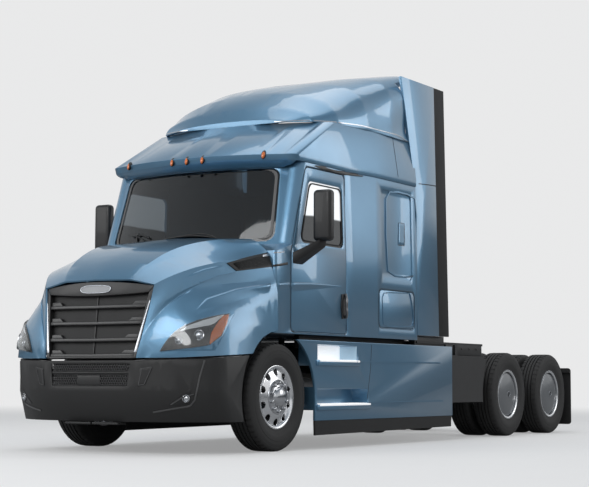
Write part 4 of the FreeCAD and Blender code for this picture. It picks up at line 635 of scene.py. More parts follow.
def tyreProfile():
    crown = tyreLook["crown"]
    low = crown - tyreLook["grooveDepth"]
    reach = tyreLook["grooveWidth"] / 2
    near = list(tyreLook["sidewall"])
    for centre in tyreLook["grooves"]:
        near += [(centre + reach + 0.001, crown), (centre + reach - 0.001, low),
                 (centre - reach + 0.001, low), (centre - reach - 0.001, crown)]
    return near + [(-x, radius) for x, radius in near[::-1]]


def notchTread(piece):
    # Short cuts across the outer ribs, one in every few steps round the tyre.
    choose(piece)
    editMesh(False)
    endEdit()
    step = 2 * math.pi / tyreLook["sides"]
    for face in piece.data.polygons:
        radius = math.hypot(face.center.y, face.center.z)
        turn = int((math.atan2(face.center.z, face.center.y) + math.pi) / step)
        onRib = tyreLook["notchFrom"] < abs(face.center.x) < tyreLook["notchTo"]
        if onRib and radius > tyreLook["notchRadius"] and turn % tyreLook["notchEvery"] == 0:
            face.select = True
    bpy.ops.object.mode_set(mode="EDIT")
    bpy.ops.mesh.extrude_region_shrink_fatten(TRANSFORM_OT_shrink_fatten={"value": -tyreLook["notchDepth"]})
    endEdit()


def roundTools(circle, radius, start, stop, sides):
    # Cylinders round the wheel's axis, in one mesh.
    tools = []
    for number in range(wheelLook["holeCount"]):
        angle = 2 * math.pi * (number + 0.5) / wheelLook["holeCount"]
        choose()
        bpy.ops.mesh.primitive_cylinder_add(
            vertices=sides, radius=radius, depth=stop - start, rotation=(0, math.pi / 2, 0),
            location=((start + stop) / 2, circle * math.cos(angle), circle * math.sin(angle)))
        tools.append(begun("roundTool"))
    return joined(tools, "roundTools")


tyreModel = lathed("tyreModel", tyreProfile(), tyreLook["sides"])
notchTread(tyreModel)
steerRim = lathed("steerRim", wheelLook["rim"] + wheelLook["steerDisc"])
holes = roundTools(*wheelLook["handHoles"])
cutWith(steerRim, holes)
remove(holes)
soften(steerRim, 0.0022, 2, 40)
applyAll(steerRim)
nuts = roundTools(*wheelLook["nuts"])
soften(nuts, 0.004, 2, 40)
applyAll(nuts)
driveRim = lathed("driveRim", wheelLook["rim"] + wheelLook["plainBarrel"])
innerDisc = lathed("innerDisc", wheelLook["innerDisc"])
steerCover = lathed("steerCover", wheelLook["steerCover"], 72, False)
driveCover = lathed("driveCover", wheelLook["driveCover"], 96, False)
coverRing = lathed("coverRing", wheelLook["coverRing"], 40)
hubSocket = lathed("hubSocket", wheelLook["hubSocket"], 32, False)
for row, places in wheelLook["centres"].items():
    for side, sign in (("left", 1), ("right", -1)):
        parts = {"tyre": [], "rim": [], "hubCover": [], "coverRing": [], "hubSocket": []}
        for order, (x, y) in enumerate(places):
            turned = side == "right"
            models = [("tyre", tyreModel, turned)]
            if row == "front":
                models += [("rim", steerRim, turned), ("hubCover", steerCover, turned),
                           ("hubCover", nuts, turned)]
            else:
                models += [("rim", driveRim, turned), ("rim", innerDisc, turned != (order == 0))]
                if order == 0:
                    models += [("hubCover", driveCover, turned), ("coverRing", coverRing, turned),
                               ("hubSocket", hubSocket, turned)]
            for part, model, facing in models:
                parts[part].append(duplicate(model, part, at(sign * x, y, wheelLook["axleHeight"]), facing))
        finishOf = {"tyre": "tyreRubber", "rim": "polishedAlloy", "coverRing": "silverTrim",
                    "hubSocket": "blackPlastic", "hubCover": "chromeCover" if row == "front" else "coverGrey"}
        for part, pieces in parts.items():
            if pieces:
                piece = joined(pieces, part + row.capitalize() + side.capitalize())
                settle(piece, "wheel_" + row + "_" + side, finishOf[part], 38)
                if part in ("tyre", "rim"):
                    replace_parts(piece, {"tyre": "tyre_", "rim": "wheel_"}[part] + row + "_" + side)
remove(tyreModel, steerRim, driveRim, innerDisc, steerCover, nuts, driveCover, coverRing, hubSocket)
print("stage wheels")


# Pieces laid on the panels: placed by pixels of the photograph and cast onto what carries them.
castLook = {
    # a hit this much nearer or further than the last one is another surface; the usual distance; where a swell
    # is highest, how it rises to there, and how deep its edges sink in
    "jump": 0.8, "usual": 13.0, "crestAt": 0.8, "crestPower": 1.5, "sink": 0.0015,
}
eye = Vector(studio["eye"])
cameraTurn = bpy.context.scene.camera.matrix_world.to_3x3()
photoFocal = studio["photoWide"] * studio["lens"] / studio["sensor"]


def pixelRay(x, y):
    middle = studio["photoMiddle"]
    aim = Vector(((x - middle[0]) / photoFocal, (middle[1] - y) / photoFocal, -1.0))
    return (cameraTurn @ aim).normalized()


def castPoint(target, x, y, lift, reach):
    # Where the pixel's line of sight meets the target, lifted off its surface.
    ray = pixelRay(x, y)
    hit, place, normal, face = target.ray_cast(eye, ray)
    if not hit or (reach and abs((place - eye).length - reach) > castLook["jump"]):
        hit, place, normal, face = target.closest_point_on_mesh(eye + ray * (reach or castLook["usual"]))
    if normal.dot(ray) > 0:
        normal = -normal
    return place + normal * lift, (place - eye).length


def castSpots(target, pixels, lifts):
    spots, reach = [], 0.0
    for (x, y), lift in zip(pixels, lifts):
        point, reach = castPoint(target, x, y, lift, reach)
        spots.append(point)
    return spots


def castPatch(name, target, low, high, columns, rows, lift, thickness, swell=None):
    # With swell (height, fade at the start, fade at the end) it bulges out, most near the high line.
    reach = [0.0]

    def place(u, v):
        spot = alongLine(low, u).lerp(alongLine(high, u), v)
        rise = lift
        if swell:
            top = castLook["crestAt"]
            if v < top:
                crest = (v / top) ** castLook["crestPower"]
            else:
                crest = math.cos((v - top) / (1 - top) * math.pi / 2)
            fade = min(1.0, u / swell[1]) * min(1.0, (1.001 - u) / swell[2])
            rise = swell[0] * crest * fade * fade * (3 - 2 * fade) - castLook["sink"]
        point, reach[0] = castPoint(target, spot.x, spot.y, rise, reach[0])
        return point

    piece = gridPiece(name, columns, rows, place, eye)
    wall(piece, thickness, -1.0 if swell else 1.0)
    return piece


def layPatch(name, target, finish, low, high, columns, rows, lift, thickness, rounding=0.0, angle=40.0, swell=None):
    piece = castPatch(name, skins[target], low, high, columns, rows, lift, thickness, swell)
    return bothSides(piece, bodyOf[target], finish, angle, rounding)


def layLine(name, target, finish, width, lift, thickness, pixels, columns=24, rounding=0.0):
    # A narrow strip that follows the pixels over the target's surface.
    pixels = [alongLine(pixels, number / columns) for number in range(columns + 1)]
    spots = castSpots(skins[target], pixels, [lift] * len(pixels))
    sideways = []
    for number, point in enumerate(spots):
        run = spots[min(number + 1, columns)] - spots[max(number - 1, 0)]
        hit, place, normal, face = skins[target].closest_point_on_mesh(point)
        sideways.append(run.cross(normal).normalized() * width / 2)

    def place(u, v):
        number = int(round(u * columns))
        return spots[number] + sideways[number] * (2 * v - 1)

    piece = gridPiece(name, columns, 1, place, eye)
    wall(piece, thickness)
    bothSides(piece, bodyOf[target], finish, 40, rounding)


def lampPair(ending, body, spot, aim, ring, bulb, sides):
    turn = Vector(aim).normalized().to_track_quat("X", "Z").to_matrix().to_4x4()
    rows = (("Ring", "chromeCover", ring, True), ("Bulb", "lampLensClear", bulb, False))
    for name, finish, profile, closed in rows:
        part = lathed(ending[0] + name + ending[1], profile, sides, closed)
        part.data.transform(Matrix.Translation(spot) @ turn)
        bothSides(part, body, finish, 40, 0.0, "lamp_glass")


# Headlamps. A patch's row: target, finish, low line, high line, columns, rows, lift, thickness, rounding, angle.
lampLook = {
    "low": ((160.0, 351.4), (193.7, 347.6), (209.0, 345.2), (221.5, 335.8), (226.6, 323.6), (228.9, 313.9)),
    "high": ((160.0, 350.8), (166.1, 341.2), (174.5, 332.0), (184.5, 325.6), (196.7, 320.5), (212.1, 316.4),
             (228.9, 313.5)),
    "band": (((180.2, 331.5), (193.7, 328.5), (209.0, 325.7), (213.6, 323.9), (223.1, 315.8)),
             ((180.2, 330.9), (187.6, 326.0), (201.3, 321.1), (212.1, 318.1), (222.8, 315.0))),
    "amber": (((222.5, 315.9), (215.9, 324.3), (210.8, 333.1), (209.0, 343.8)),
              ((228.3, 314.5), (226.1, 323.9), (220.9, 334.9), (209.6, 344.4))),
    # pixel, radius; then points of depth in metres and share of that radius
    "lamps": (((179.1, 340.7), 0.036), ((199.0, 335.4), 0.047)),
    "ring": ((0.0, 1.0), (0.010, 1.0), (0.013, 0.92), (0.010, 0.80), (0.002, 0.74), (0.0, 0.74)),
    "bulb": ((0.0, 0.74), (0.003, 0.72), (0.010, 0.6), (0.015, 0.35), (0.0165, 0.05)),
    "aim": (0.45, -0.86, 0.18),
}
lampBody = nodeCopy("headlamps", "lampSurround")
soften(lampBody, 0.003)
settle(lampBody, "hood", "bluePaint", 28)
skins["nose"] = joined([duplicate(skins["hood"], "noseSkin"), duplicate(lampBody, "noseLamps")], "noseSkin")
bodyOf["nose"] = "hood"
housings = layPatch("lampHousing", "nose", "lampBlack", lampLook["low"], lampLook["high"], 30, 10, 0.002, 0.004,
                    0.0, 35)
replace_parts(housings[0], "headlamps")
layPatch("lampBand", "nose", "lampWhite", *lampLook["band"], 24, 4, 0.006, 0.006, 0.001)
layPatch("lampAmber", "nose", "amberLens", *lampLook["amber"], 16, 6, 0.006, 0.006, 0.001)
for number, (pixel, radius) in enumerate(lampLook["lamps"]):
    ring, bulb = [[(depth, radius * share) for depth, share in lampLook[part]] for part in ("ring", "bulb")]
    spot = castSpots(skins["nose"], [pixel], [0.004])[0]
    lampPair(("projector", str(number)), "hood", spot, lampLook["aim"], ring, bulb, 40)
layPatch("lampLens", "nose", "clearGlass", lampLook["low"], lampLook["high"], 30, 10, 0.020, 0.002, 0.0, 60)
remove(skins.pop("nose"))
print("stage headlamps")

# The grille, in x and z on its leaning and bowed front.
grilleLook = {
    "bottomY": -1.364, "topY": -1.284, "low": 0.852, "tall": 0.696, "bowLow": 0.038, "bowHigh": 0.170,
    "halfTop": 0.614, "halfLow": 0.514, "crown": 1.546, "shoulder": 1.499,
    "innerHalf": 0.566, "innerLow": 1.418, "innerDrop": 0.024, "sideLow": 0.478, "sideTop": (0.568, 1.442),
    "footHalf": 0.49, "footTop": 0.872,
    "blades": (1.310, 1.162, 1.011, 0.870), "bladeTall": 0.030, "bladeGap": 0.040,
    "stepLow": 0.020, "stepTop": 0.062, "stepLong": (0.15, 0.11),
    "plateHalf": 0.170, "plateTall": 0.034, "plateZ": 1.478, "plateSteps": 24, "plateBar": 0.0055,
    # low and high line on the left half
    "shutter": ((0.006, 0.86), (0.485, 0.86), (0.006, 1.435), (0.575, 1.45)),
    "bevel": ((0.486, 0.905), (0.586, 1.37), (0.5135, 0.905), (0.5945, 1.37)),
    "strips": {
        # name: how far back, thickness, columns, rows, rounding
        "grilleTop": (0.0, 0.06), "grilleSide": (0.0, 0.06, 24, 2, 0.007), "grilleFoot": (0.004, 0.05),
        "blade": (0.008, 0.045, 24, 2, 0.006), "bladeEnd": (0.020, 0.035, 8, 2, 0.006),
        "shutter": (0.055, 0.006, 16, 12, 0.002), "grilleBevel": (-0.004, 0.006, 12, 2, 0.002),
        "grilleDivider": (0.046, 0.02, 2, 12, 0.002),
    },
}


def grilleY(x, z):
    rise = (z - grilleLook["low"]) / grilleLook["tall"]
    centre = grilleLook["bottomY"] + (grilleLook["topY"] - grilleLook["bottomY"]) * rise
    return centre + x * x * (grilleLook["bowLow"] + (grilleLook["bowHigh"] - grilleLook["bowLow"]) * rise)


def grilleHalf(z):
    rise = (z - grilleLook["low"]) / (grilleLook["shoulder"] - grilleLook["low"])
    return grilleLook["halfLow"] + (grilleLook["halfTop"] - grilleLook["halfLow"]) * rise


def grilleStrip(name, low, high):
    return strip(name, low, high, grilleY, *grilleLook["strips"][name])


def sided(sign, spots):
    # Two lines of two spots each, on one side of the middle.
    spots = [(sign * x, z) for x, z in spots]
    return spots[:2], spots[2:]


def plateSpot(u, v):
    turn = math.pi * u
    x = -math.cos(turn) * grilleLook["plateHalf"] * 0.98
    z = grilleLook["plateZ"] + (2 * v - 1) * grilleLook["plateTall"] * 0.96 * math.sin(turn) ** 0.6
    return at(x, grilleY(x, z) - 0.001, z)


def signed(value, power):
    return math.copysign(abs(value) ** power, value)


shares = [x / 12 for x in range(-12, 13)]
topArch = [(share * grilleLook["halfTop"],
            grilleLook["crown"] - (grilleLook["crown"] - grilleLook["shoulder"]) * share ** 2) for share in shares]
innerArch = [(share * grilleLook["innerHalf"], grilleLook["innerLow"] + grilleLook["innerDrop"] * share ** 2)
             for share in shares]
low, foot = grilleLook["low"], grilleLook["footHalf"]
frameParts = [grilleStrip("grilleTop", innerArch, topArch)]
blades, shutters, edges = [], [], []
for sign in (-1, 1):
    outer = [(sign * grilleLook["halfLow"], low), (sign * grilleLook["halfTop"], grilleLook["shoulder"])]
    inner = [(sign * grilleLook["sideLow"], low), (sign * grilleLook["sideTop"][0], grilleLook["sideTop"][1])]
    frameParts.append(grilleStrip("grilleSide", inner, outer))
    shutters.append(grilleStrip("shutter", *sided(sign, grilleLook["shutter"])))
    edges.append(grilleStrip("grilleBevel", *sided(sign, grilleLook["bevel"])))
frameParts.append(grilleStrip("grilleFoot", [(-foot, low), (foot, low)],
                              [(-foot, grilleLook["footTop"]), (foot, grilleLook["footTop"])]))
for height in grilleLook["blades"]:
    half = grilleHalf(height) - grilleLook["bladeGap"]
    line = [(-half, height - 0.004), (0, height - 0.008), (half, height - 0.004)]
    raised = [(x, z + grilleLook["bladeTall"]) for x, z in line]
    blades.append(grilleStrip("blade", line, raised))
    for sign in (-1, 1):
        ends = [[(sign * (half - long), height + rise), (sign * half, height + rise)] for long, rise in
                zip(grilleLook["stepLong"], (grilleLook["stepLow"], grilleLook["stepTop"]))]
        blades.append(grilleStrip("bladeEnd", *ends))
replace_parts(settle(joined(frameParts, "grilleFrame"), "hood", "grilleBlack"), "grille")
settle(joined(blades, "grilleBlades"), "hood", "bladeGrey")
settle(joined(shutters, "grilleShutters"), "hood", "shutterDark")
settle(grilleStrip("grilleDivider", [(-0.007, 0.87), (0.007, 0.87)], [(-0.007, 1.43), (0.007, 1.43)]),
       "hood", "blackPlastic")
settle(joined(edges, "grilleBevels"), "hood", "silverTrim")
oval = []
for number in range(grilleLook["plateSteps"]):
    turn = 2 * math.pi * number / grilleLook["plateSteps"]
    x = signed(math.cos(turn), 0.6) * grilleLook["plateHalf"]
    z = grilleLook["plateZ"] + signed(math.sin(turn), 0.8) * grilleLook["plateTall"]
    oval.append(at(x, grilleY(x, z) - 0.004, z))
settle(tube("plateRim", oval, grilleLook["plateBar"], True), "hood", "silverTrim", 50)
blank = gridPiece("barePlate", 24, 4, plateSpot, Vector((0, -30, 1)))
wall(blank, 0.004)
settle(blank, "hood", "coverGrey", 50)
print("stage grille")

# The bumper.
bumperLook = {
    "pitch": 0.0255, "cell": 0.0150, "strand": 0.0034, "deep": 0.010, "half": 0.43, "meshY": -1.369, "bow": 0.085,
    "bands": ((0.738, 4), (0.612, 4)), "bandLift": 0.016,
    # pieces on the mesh: name, half width and height at the bottom and at the top, how far back, thickness
    "backing": ("bumperBacking", (0.44, 0.60), (0.45, 0.83), 0.020, 0.006),
    "bars": (("meshBar", (0.445, 0.714), (0.447, 0.734), -0.006, 0.03),
             ("meshBar", (0.445, 0.594), (0.447, 0.610), -0.006, 0.03),
             ("platePanel", (0.13, 0.612), (0.13, 0.700), -0.008, 0.02)),
    "rim": ((-0.452, 0.815), (-0.452, 0.76), (-0.44, 0.62), (-0.41, 0.592), (0.0, 0.586), (0.41, 0.592),
            (0.44, 0.62), (0.452, 0.76), (0.452, 0.815)),
    "rimOut": 0.003, "rimRadius": 0.007,
    "lips": ((-0.30, -0.008), (0.008, 0.30)), "lipLow": (-1.33, 0.262), "lipHigh": (-1.20, 0.284),
    "fogRing": ((0.0, 0.034), (0.012, 0.034), (0.014, 0.030), (0.004, 0.026), (0.0, 0.026)),
    "fogBulb": ((0.0, 0.026), (0.004, 0.025), (0.010, 0.018), (0.012, 0.004)),
    "fogPixel": (186.3, 398.6), "fogAim": (0.35, -0.93, 0.0),
    # width, lift, thickness, pixels, columns, rounding
    "lines": {
        "bumperCrease": (0.016, 0.0, 0.007, ((153.1, 412.4), (175.3, 408.5), (189.9, 406.2), (194.8, 400.1),
                                             (199.8, 377.1), (204.7, 360.3)), 40, 0.003),
        "fogSlot": (0.012, 0.003, 0.004, ((170.7, 404.7), (182.2, 397.4), (194.1, 394.0)), 16, 0.002),
        "towEdge": (0.006, 0.005, 0.003, ((138.6, 385.2), (142.0, 368.7), (152.0, 366.8), (144.3, 384.4),
                                          (138.6, 385.2)), 32),
        "bumperTopEdge": (0.010, 0.0, 0.005, ((135.3, 360.7), (163.1, 359.1), (201.3, 356.8), (247.2, 353.8)),
                          40, 0.002),
    },
}


def bumperY(x, z):
    return bumperLook["meshY"] + bumperLook["bow"] * x * x


def honeycomb(name, columns, rows):
    # One hexagonal cell with an open middle, repeated over two sets of rows.
    choose()
    bpy.ops.mesh.primitive_circle_add(vertices=6, radius=bumperLook["cell"], fill_type="NGON",
                                      rotation=(math.pi / 2, 0, 0))
    cell = begun(name)
    cell.data.transform(Matrix.Rotation(math.pi / 6, 4, "Y"))
    editMesh()
    bpy.ops.mesh.inset(thickness=bumperLook["strand"] * 0.5 + 0.0008)
    bpy.ops.mesh.delete(type="FACE")
    endEdit()
    wall(cell, bumperLook["deep"], 0.0)
    rise = bumperLook["pitch"] * math.sqrt(3) / 2
    repeat(cell, "across", columns, (bumperLook["pitch"], 0, 0))
    repeat(cell, "pair", 2, (bumperLook["pitch"] / 2, 0, rise))
    repeat(cell, "up", rows // 2, (0, 0, 2 * rise))
    return applyAll(cell)


def meshStrip(name, low, high, back, thickness):
    lines = [[(-half, z), (half, z)] for half, z in (low, high)]
    return strip(name, *lines, bumperY, back, thickness, 20)


meshParts = []
for low, rows in bumperLook["bands"]:
    count = int(2 * bumperLook["half"] / bumperLook["pitch"])
    band = honeycomb("bumperMesh", count, rows)
    for vertex in band.data.vertices:
        x = vertex.co.x - (count - 0.5) * bumperLook["pitch"] / 2
        vertex.co = at(x, bumperY(x, 0) + vertex.co.y, low + bumperLook["bandLift"] + vertex.co.z)
    meshParts.append(band)
settle(joined(meshParts, "bumperMesh"), "vehicle", "edgeGrey", 30, "black_plastic")
settle(meshStrip(*bumperLook["backing"]), "vehicle", "blackPlastic")
settle(joined([meshStrip(*bar) for bar in bumperLook["bars"]], "bumperBars"), "vehicle", "blackPlastic")
rimSpots = [at(x, bumperY(x, z) - bumperLook["rimOut"], z) for x, z in bumperLook["rim"]]
settle(tube("meshRim", rimSpots, bumperLook["rimRadius"]), "vehicle", "edgeGrey", 50)
# The lines along the crease, fog slot, tow cover and top edge are painted highlights in the lighter grey.
for name, row in bumperLook["lines"].items():
    layLine(name, "bumper", "edgeGrey", *row)
layPatch("towCover", "bumper", "blackPlastic", ((137.4, 386.3), (145.5, 384.0)), ((140.1, 368.3), (151.7, 366.7)),
         6, 6, 0.0, 0.006, 0.003)
# A darker sheet laid flat on the bumper where the fog lamp's recess is: painted shade.
layPatch("fogRecess", "bumper", "blackPlastic", ((168.4, 405.5), (179.9, 405.5), (188.3, 403.9)),
         ((169.2, 403.5), (179.9, 394.8), (191.8, 388.2)), 10, 5, 0.0, 0.003, 0.001)
fogSpot = castSpots(skins["bumper"], [bumperLook["fogPixel"]], [0.002])[0]
lampPair(("fog", ""), "vehicle", fogSpot, bumperLook["fogAim"], bumperLook["fogRing"], bumperLook["fogBulb"], 32)
lips = [applyAll(block("underLip", at(start, *bumperLook["lipLow"]), at(stop, *bumperLook["lipHigh"]), 0.006))
        for start, stop in bumperLook["lips"]]
settle(joined(lips, "underLip"), "vehicle", "bumperPlastic")
print("stage bumper")


# Glass surrounds, gaps, wipers and lamps on the cab.
def roundedLoop(corners, radius, steps=6):
    # Points round a flat outline whose corners are arcs.
    corners = [Vector(corner) for corner in corners]
    loop = []
    for number, corner in enumerate(corners):
        back = (corners[number - 1] - corner).normalized()
        onward = (corners[(number + 1) % len(corners)] - corner).normalized()
        for step in range(steps + 1):
            share = step / steps
            first = corner + back * radius * (1 - share)
            loop.append(first.lerp(corner + onward * radius * share, share))
    return loop


def glassRing(name, target, toward, body, finish, corners, radius, spread, width, thickness=0.008):
    # A gasket on a pane: the outline is seen along one axis and cast on to the pane. Toward is 0 for the front.
    outer = roundedLoop(corners, radius)
    middle = sum(outer, Vector((0, 0))) / len(outer)
    share = 1 - 2 * width / spread
    inner = roundedLoop([middle + (Vector(corner) - middle) * share for corner in corners], radius)
    count = len(outer)
    heading = Vector((-toward, 0, 0)) if toward else Vector((0, 1, 0))

    def place(u, v):
        number = int(round(u * count)) % count
        spot = outer[number].lerp(inner[number], v)
        start = at(2.0 * toward, spot.x, spot.y) if toward else at(spot.x, -2.0, spot.y)
        hit, where, normal, face = target.ray_cast(start, heading)
        if not hit:
            hit, where, normal, face = target.closest_point_on_mesh(start + heading * 1.2)
        if normal.dot(heading) > 0:
            normal = -normal
        return where + normal * 0.001

    ring = gridPiece(name, count, 2, place, at(6 * toward, 0, 2) if toward else at(0, -6, 4))
    wall(ring, thickness)
    settle(ring, body, finish)


ringLook = {
    # corners (across or along the truck, and height), corner radius, spread, width, thickness
    "screen": (((-0.945, 2.012), (0.945, 2.012), (0.892, 2.712), (-0.892, 2.712)), 0.09, 1.4, 0.020),
    "doorGap": (((0.231, 1.117), (0.231, 1.880), (0.538, 2.754), (1.314, 2.754), (1.314, 1.117)),
                0.06, 1.1, 0.006, 0.001),
    "lidGap": (((1.947, 1.207), (2.768, 1.207), (2.768, 1.628), (1.947, 1.628)), 0.07, 0.6, 0.006, 0.001),
    "window": (((0.432, 2.006), (1.243, 2.006), (1.243, 2.596), (0.618, 2.596)), 0.07, 0.7, 0.014),
}
glassRing("screenGasket", nodes["windscreen"], 0, "vehicle", "gasketGrey", *ringLook["screen"])
# The door and lid gap rings are painted shade: dark lines on the cab along the gaps.
for sign, side in ((1, "left"), (-1, "right")):
    for gap in ("doorGap", "lidGap"):
        glassRing(gap + side.title(), skins["cab_shell"], sign, "vehicle", "seamDark", *ringLook[gap])
    glassRing("doorGasket" + side.title(), nodes["door_glass_" + side], sign, "door_" + side, "trimRubber",
              *ringLook["window"])
wiperPixels = {
    # name: lift off the glass, radius, pixels
    "farBlade": (0.016, 0.010, ((110.8, 241.4), (125.6, 238.6), (138.1, 238.1), (150.6, 238.6))),
    "farArm": (0.028, 0.006, ((131.9, 236.6), (138.9, 237.8), (146.7, 241.9))),
    "nearBlade": (0.016, 0.010, ((167.0, 239.4), (185.0, 236.9), (200.6, 236.6), (214.4, 238.1))),
    "nearArm": (0.028, 0.006, ((187.3, 235.9), (210.0, 235.9), (217.8, 239.4))),
}
wipers = [tube(name, castSpots(nodes["windscreen"], pixels, [lift] * len(pixels)), radius)
          for name, (lift, radius, pixels) in wiperPixels.items()]
settle(joined(wipers, "wipers"), "vehicle", "blackPlastic", 50)
markerLook = {
    "places": ((0.0, 0.11, 2.822), (0.182, 0.119, 2.822), (-0.182, 0.119, 2.822), (0.831, 0.204, 2.826),
               (-0.831, 0.204, 2.826)),
    "size": (0.020, 0.022, 0.042), "lean": -24, "lift": 0.004,
    "baseSize": 1.16, "baseSink": 0.008,
}
markers, bases = [], []
for spot in markerLook["places"]:
    hit, place, normal, face = skins["roof_cap"].closest_point_on_mesh(at(*spot))
    choose()
    bpy.ops.mesh.primitive_uv_sphere_add(segments=20, ring_count=12, radius=1.0)
    bpy.ops.transform.resize(value=markerLook["size"])
    bulb = begun("markerLamp")
    lean = Matrix.Rotation(math.radians(markerLook["lean"]), 4, "X")
    bulb.data.transform(Matrix.Translation(place + normal * markerLook["lift"]) @ lean)
    markers.append(bulb)
    base = duplicate(bulb, "markerBase")
    for vertex in base.data.vertices:
        vertex.co = place + (vertex.co - place) * markerLook["baseSize"] - normal * markerLook["baseSink"]
    bases.append(base)
settle(joined(markers, "markerLamps"), "vehicle", "amberLens", 60)
settle(joined(bases, "markerBases"), "vehicle", "blackPlastic", 60)
print("stage cab fittings")

# Vents, handles, ridges and seams on the sides.
sidePatches = {
    # name: target, finish, low and high line, columns, rows, lift, thickness, rounding, angle, swell
    "hoodVent": ("hood", "blackPlastic", ((226.7, 263.4), (236.3, 271.1), (254.7, 268.9), (273.4, 266.5)),
                 ((226.7, 263.1), (241.9, 258.5), (257.8, 254.7), (273.0, 251.3)), 20, 5, 0.001, 0.006, 0.002),
    "ventAccent": ("hood", "silverTrim", ((262.2, 257.1), (267.4, 256.6), (272.0, 254.3)),
                   ((261.8, 255.3), (267.4, 253.9), (271.9, 252.3)), 10, 3, 0.007, 0.007, 0.002),
    "doorHandleBed": ("door_left", "blackPlastic", ((341.4, 294.3), (340.7, 307.5), (341.8, 318.9)),
                      ((347.3, 293.2), (348.4, 307.5), (347.9, 318.6)), 12, 4, 0.001, 0.005, 0.002),
    "doorRidge": ("door_left", "bluePaint", ((290.6, 291.7), (309.5, 289.8), (341.3, 286.9)),
                  ((289.1, 282.4), (309.5, 282.8), (341.3, 286.1)), 30, 12, 0.0, 0.004, 0.0, 60, (0.012, 0.02, 0.8)),
    "hoodRidge": ("hood", "bluePaint", ((193.9, 313.9), (226.2, 306.5), (254.0, 298.3), (271.0, 294.1)),
                  ((192.9, 312.8), (205.9, 297.8), (235.5, 288.0), (271.0, 282.8)), 36, 14, 0.0, 0.004, 0.0, 60,
                  (0.016, 0.35, 0.02)),
    "cowlRidge": ("cab_shell", "bluePaint", ((277.7, 293.5), (283.6, 292.4), (289.5, 291.7)),
                  ((277.7, 282.6), (283.6, 282.2), (289.5, 282.4)), 10, 12, 0.0, 0.004, 0.0, 60, (0.012, 0.02, 0.02)),
    "noseRidge": ("hood", "bluePaint", ((191.1, 286.9), (213.3, 279.8), (234.0, 275.0)),
                  ((180.0, 278.4), (202.2, 269.1), (226.6, 263.6)), 30, 14, 0.0, 0.004, 0.0, 60, (0.010, 0.4, 0.3)),
    "ventTail": ("cab_shell", "blackPlastic", ((273.0, 266.9), (279.9, 266.0), (287.6, 264.7)),
                 ((273.0, 264.7), (279.9, 263.6), (287.6, 262.1)), 8, 2, 0.001, 0.004, 0.001),
    "latchBed": ("cab_shell", "bluePaint", ((398.6, 244.3), (403.8, 245.4)), ((399.0, 223.3), (404.0, 224.4)),
                 6, 8, 0.0, 0.006, 0.002),
    "dripShade": ("cab_shell", "blackPlastic", ((313.6, 166.0), (333.2, 174.0), (362.2, 176.7)),
                  ((312.0, 164.6), (335.4, 168.2), (364.5, 174.0)), 16, 3, 0.001, 0.004, 0.001),
}
for name, row in sidePatches.items():
    layPatch(name, *row)
ventLook = {
    # the grid of the vent's mesh: low and high line, columns, rows, lift, thickness
    "grid": (((233.1, 264.2), (239.1, 269.7), (257.8, 267.4), (271.8, 265.3)),
             ((233.0, 263.4), (245.9, 260.1), (261.0, 256.7), (271.8, 255.1)), 30, 7, 0.009, 0.001),
    "strand": 0.004,
}
ventMesh = castPatch("ventMesh", skins["hood"], *ventLook["grid"])
ventMesh.modifiers.clear()
modify(ventMesh, "strands", "WIREFRAME", thickness=ventLook["strand"], use_even_offset=False)
bothSides(ventMesh, "hood", "grilleBlack", 30, 0.0, "black_plastic")
sideLines = {
    # name: target, finish, width, lift, thickness, pixels
    "skirtCreaseUpper": ("skirt_left", "bluePaint", 0.014, 0.0, 0.006,
                         ((357.0, 361.6), (390.0, 362.1), (440.0, 362.9))),
    "skirtCreaseLower": ("skirt_left", "bluePaint", 0.014, 0.0, 0.006,
                         ((365.0, 402.5), (390.0, 401.8), (442.7, 400.9))),
    "noseSeam": ("hood", "bluePaint", 0.012, 0.0, 0.006, ((200.0, 282.2), (216.6, 275.6), (234.8, 271.8))),
    # latchLine and the seam lines below in the seam finish are painted shade along the gaps.
    "latchLine": ("cab_shell", "seamDark", 0.007, 0.0, 0.0012,
                  ((397.9, 244.9), (398.2, 222.5), (404.5, 223.8), (404.5, 246.2), (397.9, 244.9))),
    "recessRim": ("cab_shell", "bluePaint", 0.016, 0.0, 0.006,
                  ((387.9, 271.0), (386.0, 234.0), (385.7, 197.0), (387.5, 192.6), (392.7, 190.7), (410.3, 195.1),
                   (416.0, 199.6), (417.3, 208.1), (417.3, 269.1), (414.9, 274.7), (409.3, 278.0), (392.7, 275.6),
                   (387.9, 271.0))),
    "lidRim": ("baggage_door_left", "bluePaint", 0.010, 0.0, 0.005,
               ((383.1, 323.7), (382.0, 295.9), (384.2, 292.4), (411.2, 293.2), (414.5, 296.5), (414.1, 323.7),
                (411.6, 326.8), (385.3, 326.1), (383.1, 323.7))),
    "extenderSeam": ("side_extenders", "seamDark", 0.010, 0.0, 0.0015,
                     ((418.6, 183.7), (427.8, 184.8), (436.7, 186.1))),
    "beltLine": ("cab_shell", "silverTrim", 0.010, 0.0, 0.003, ((273.8, 252.8), (284.2, 251.9))),
    "skirtSeam": ("skirt_left", "seamDark", 0.005, 0.0, 0.0015, ((371.6, 344.6), (370.4, 370.0), (367.1, 399.5))),
    "capSeam": ("roof_cap", "seamDark", 0.006, 0.0, 0.0015, ((392.6, 138.1), (395.7, 159.3), (398.2, 177.1))),
    "fairingLine": ("roof_fairing", "silverTrim", 0.010, 0.0, 0.003,
                    ((274.1, 121.8), (306.4, 120.2), (333.2, 121.8), (361.1, 125.4), (397.9, 135.2), (411.3, 144.1))),
}
for name, row in sideLines.items():
    layLine(name, *row)
handleLook = {
    "pixels": ((344.8, 294.5), (343.9, 300.4), (343.8, 307.5), (344.1, 313.9), (345.2, 317.9)),
    "lifts": (0.012, 0.034, 0.034, 0.034, 0.012), "radius": 0.013,
}
handleSpots = castSpots(skins["door_left"], handleLook["pixels"], handleLook["lifts"])
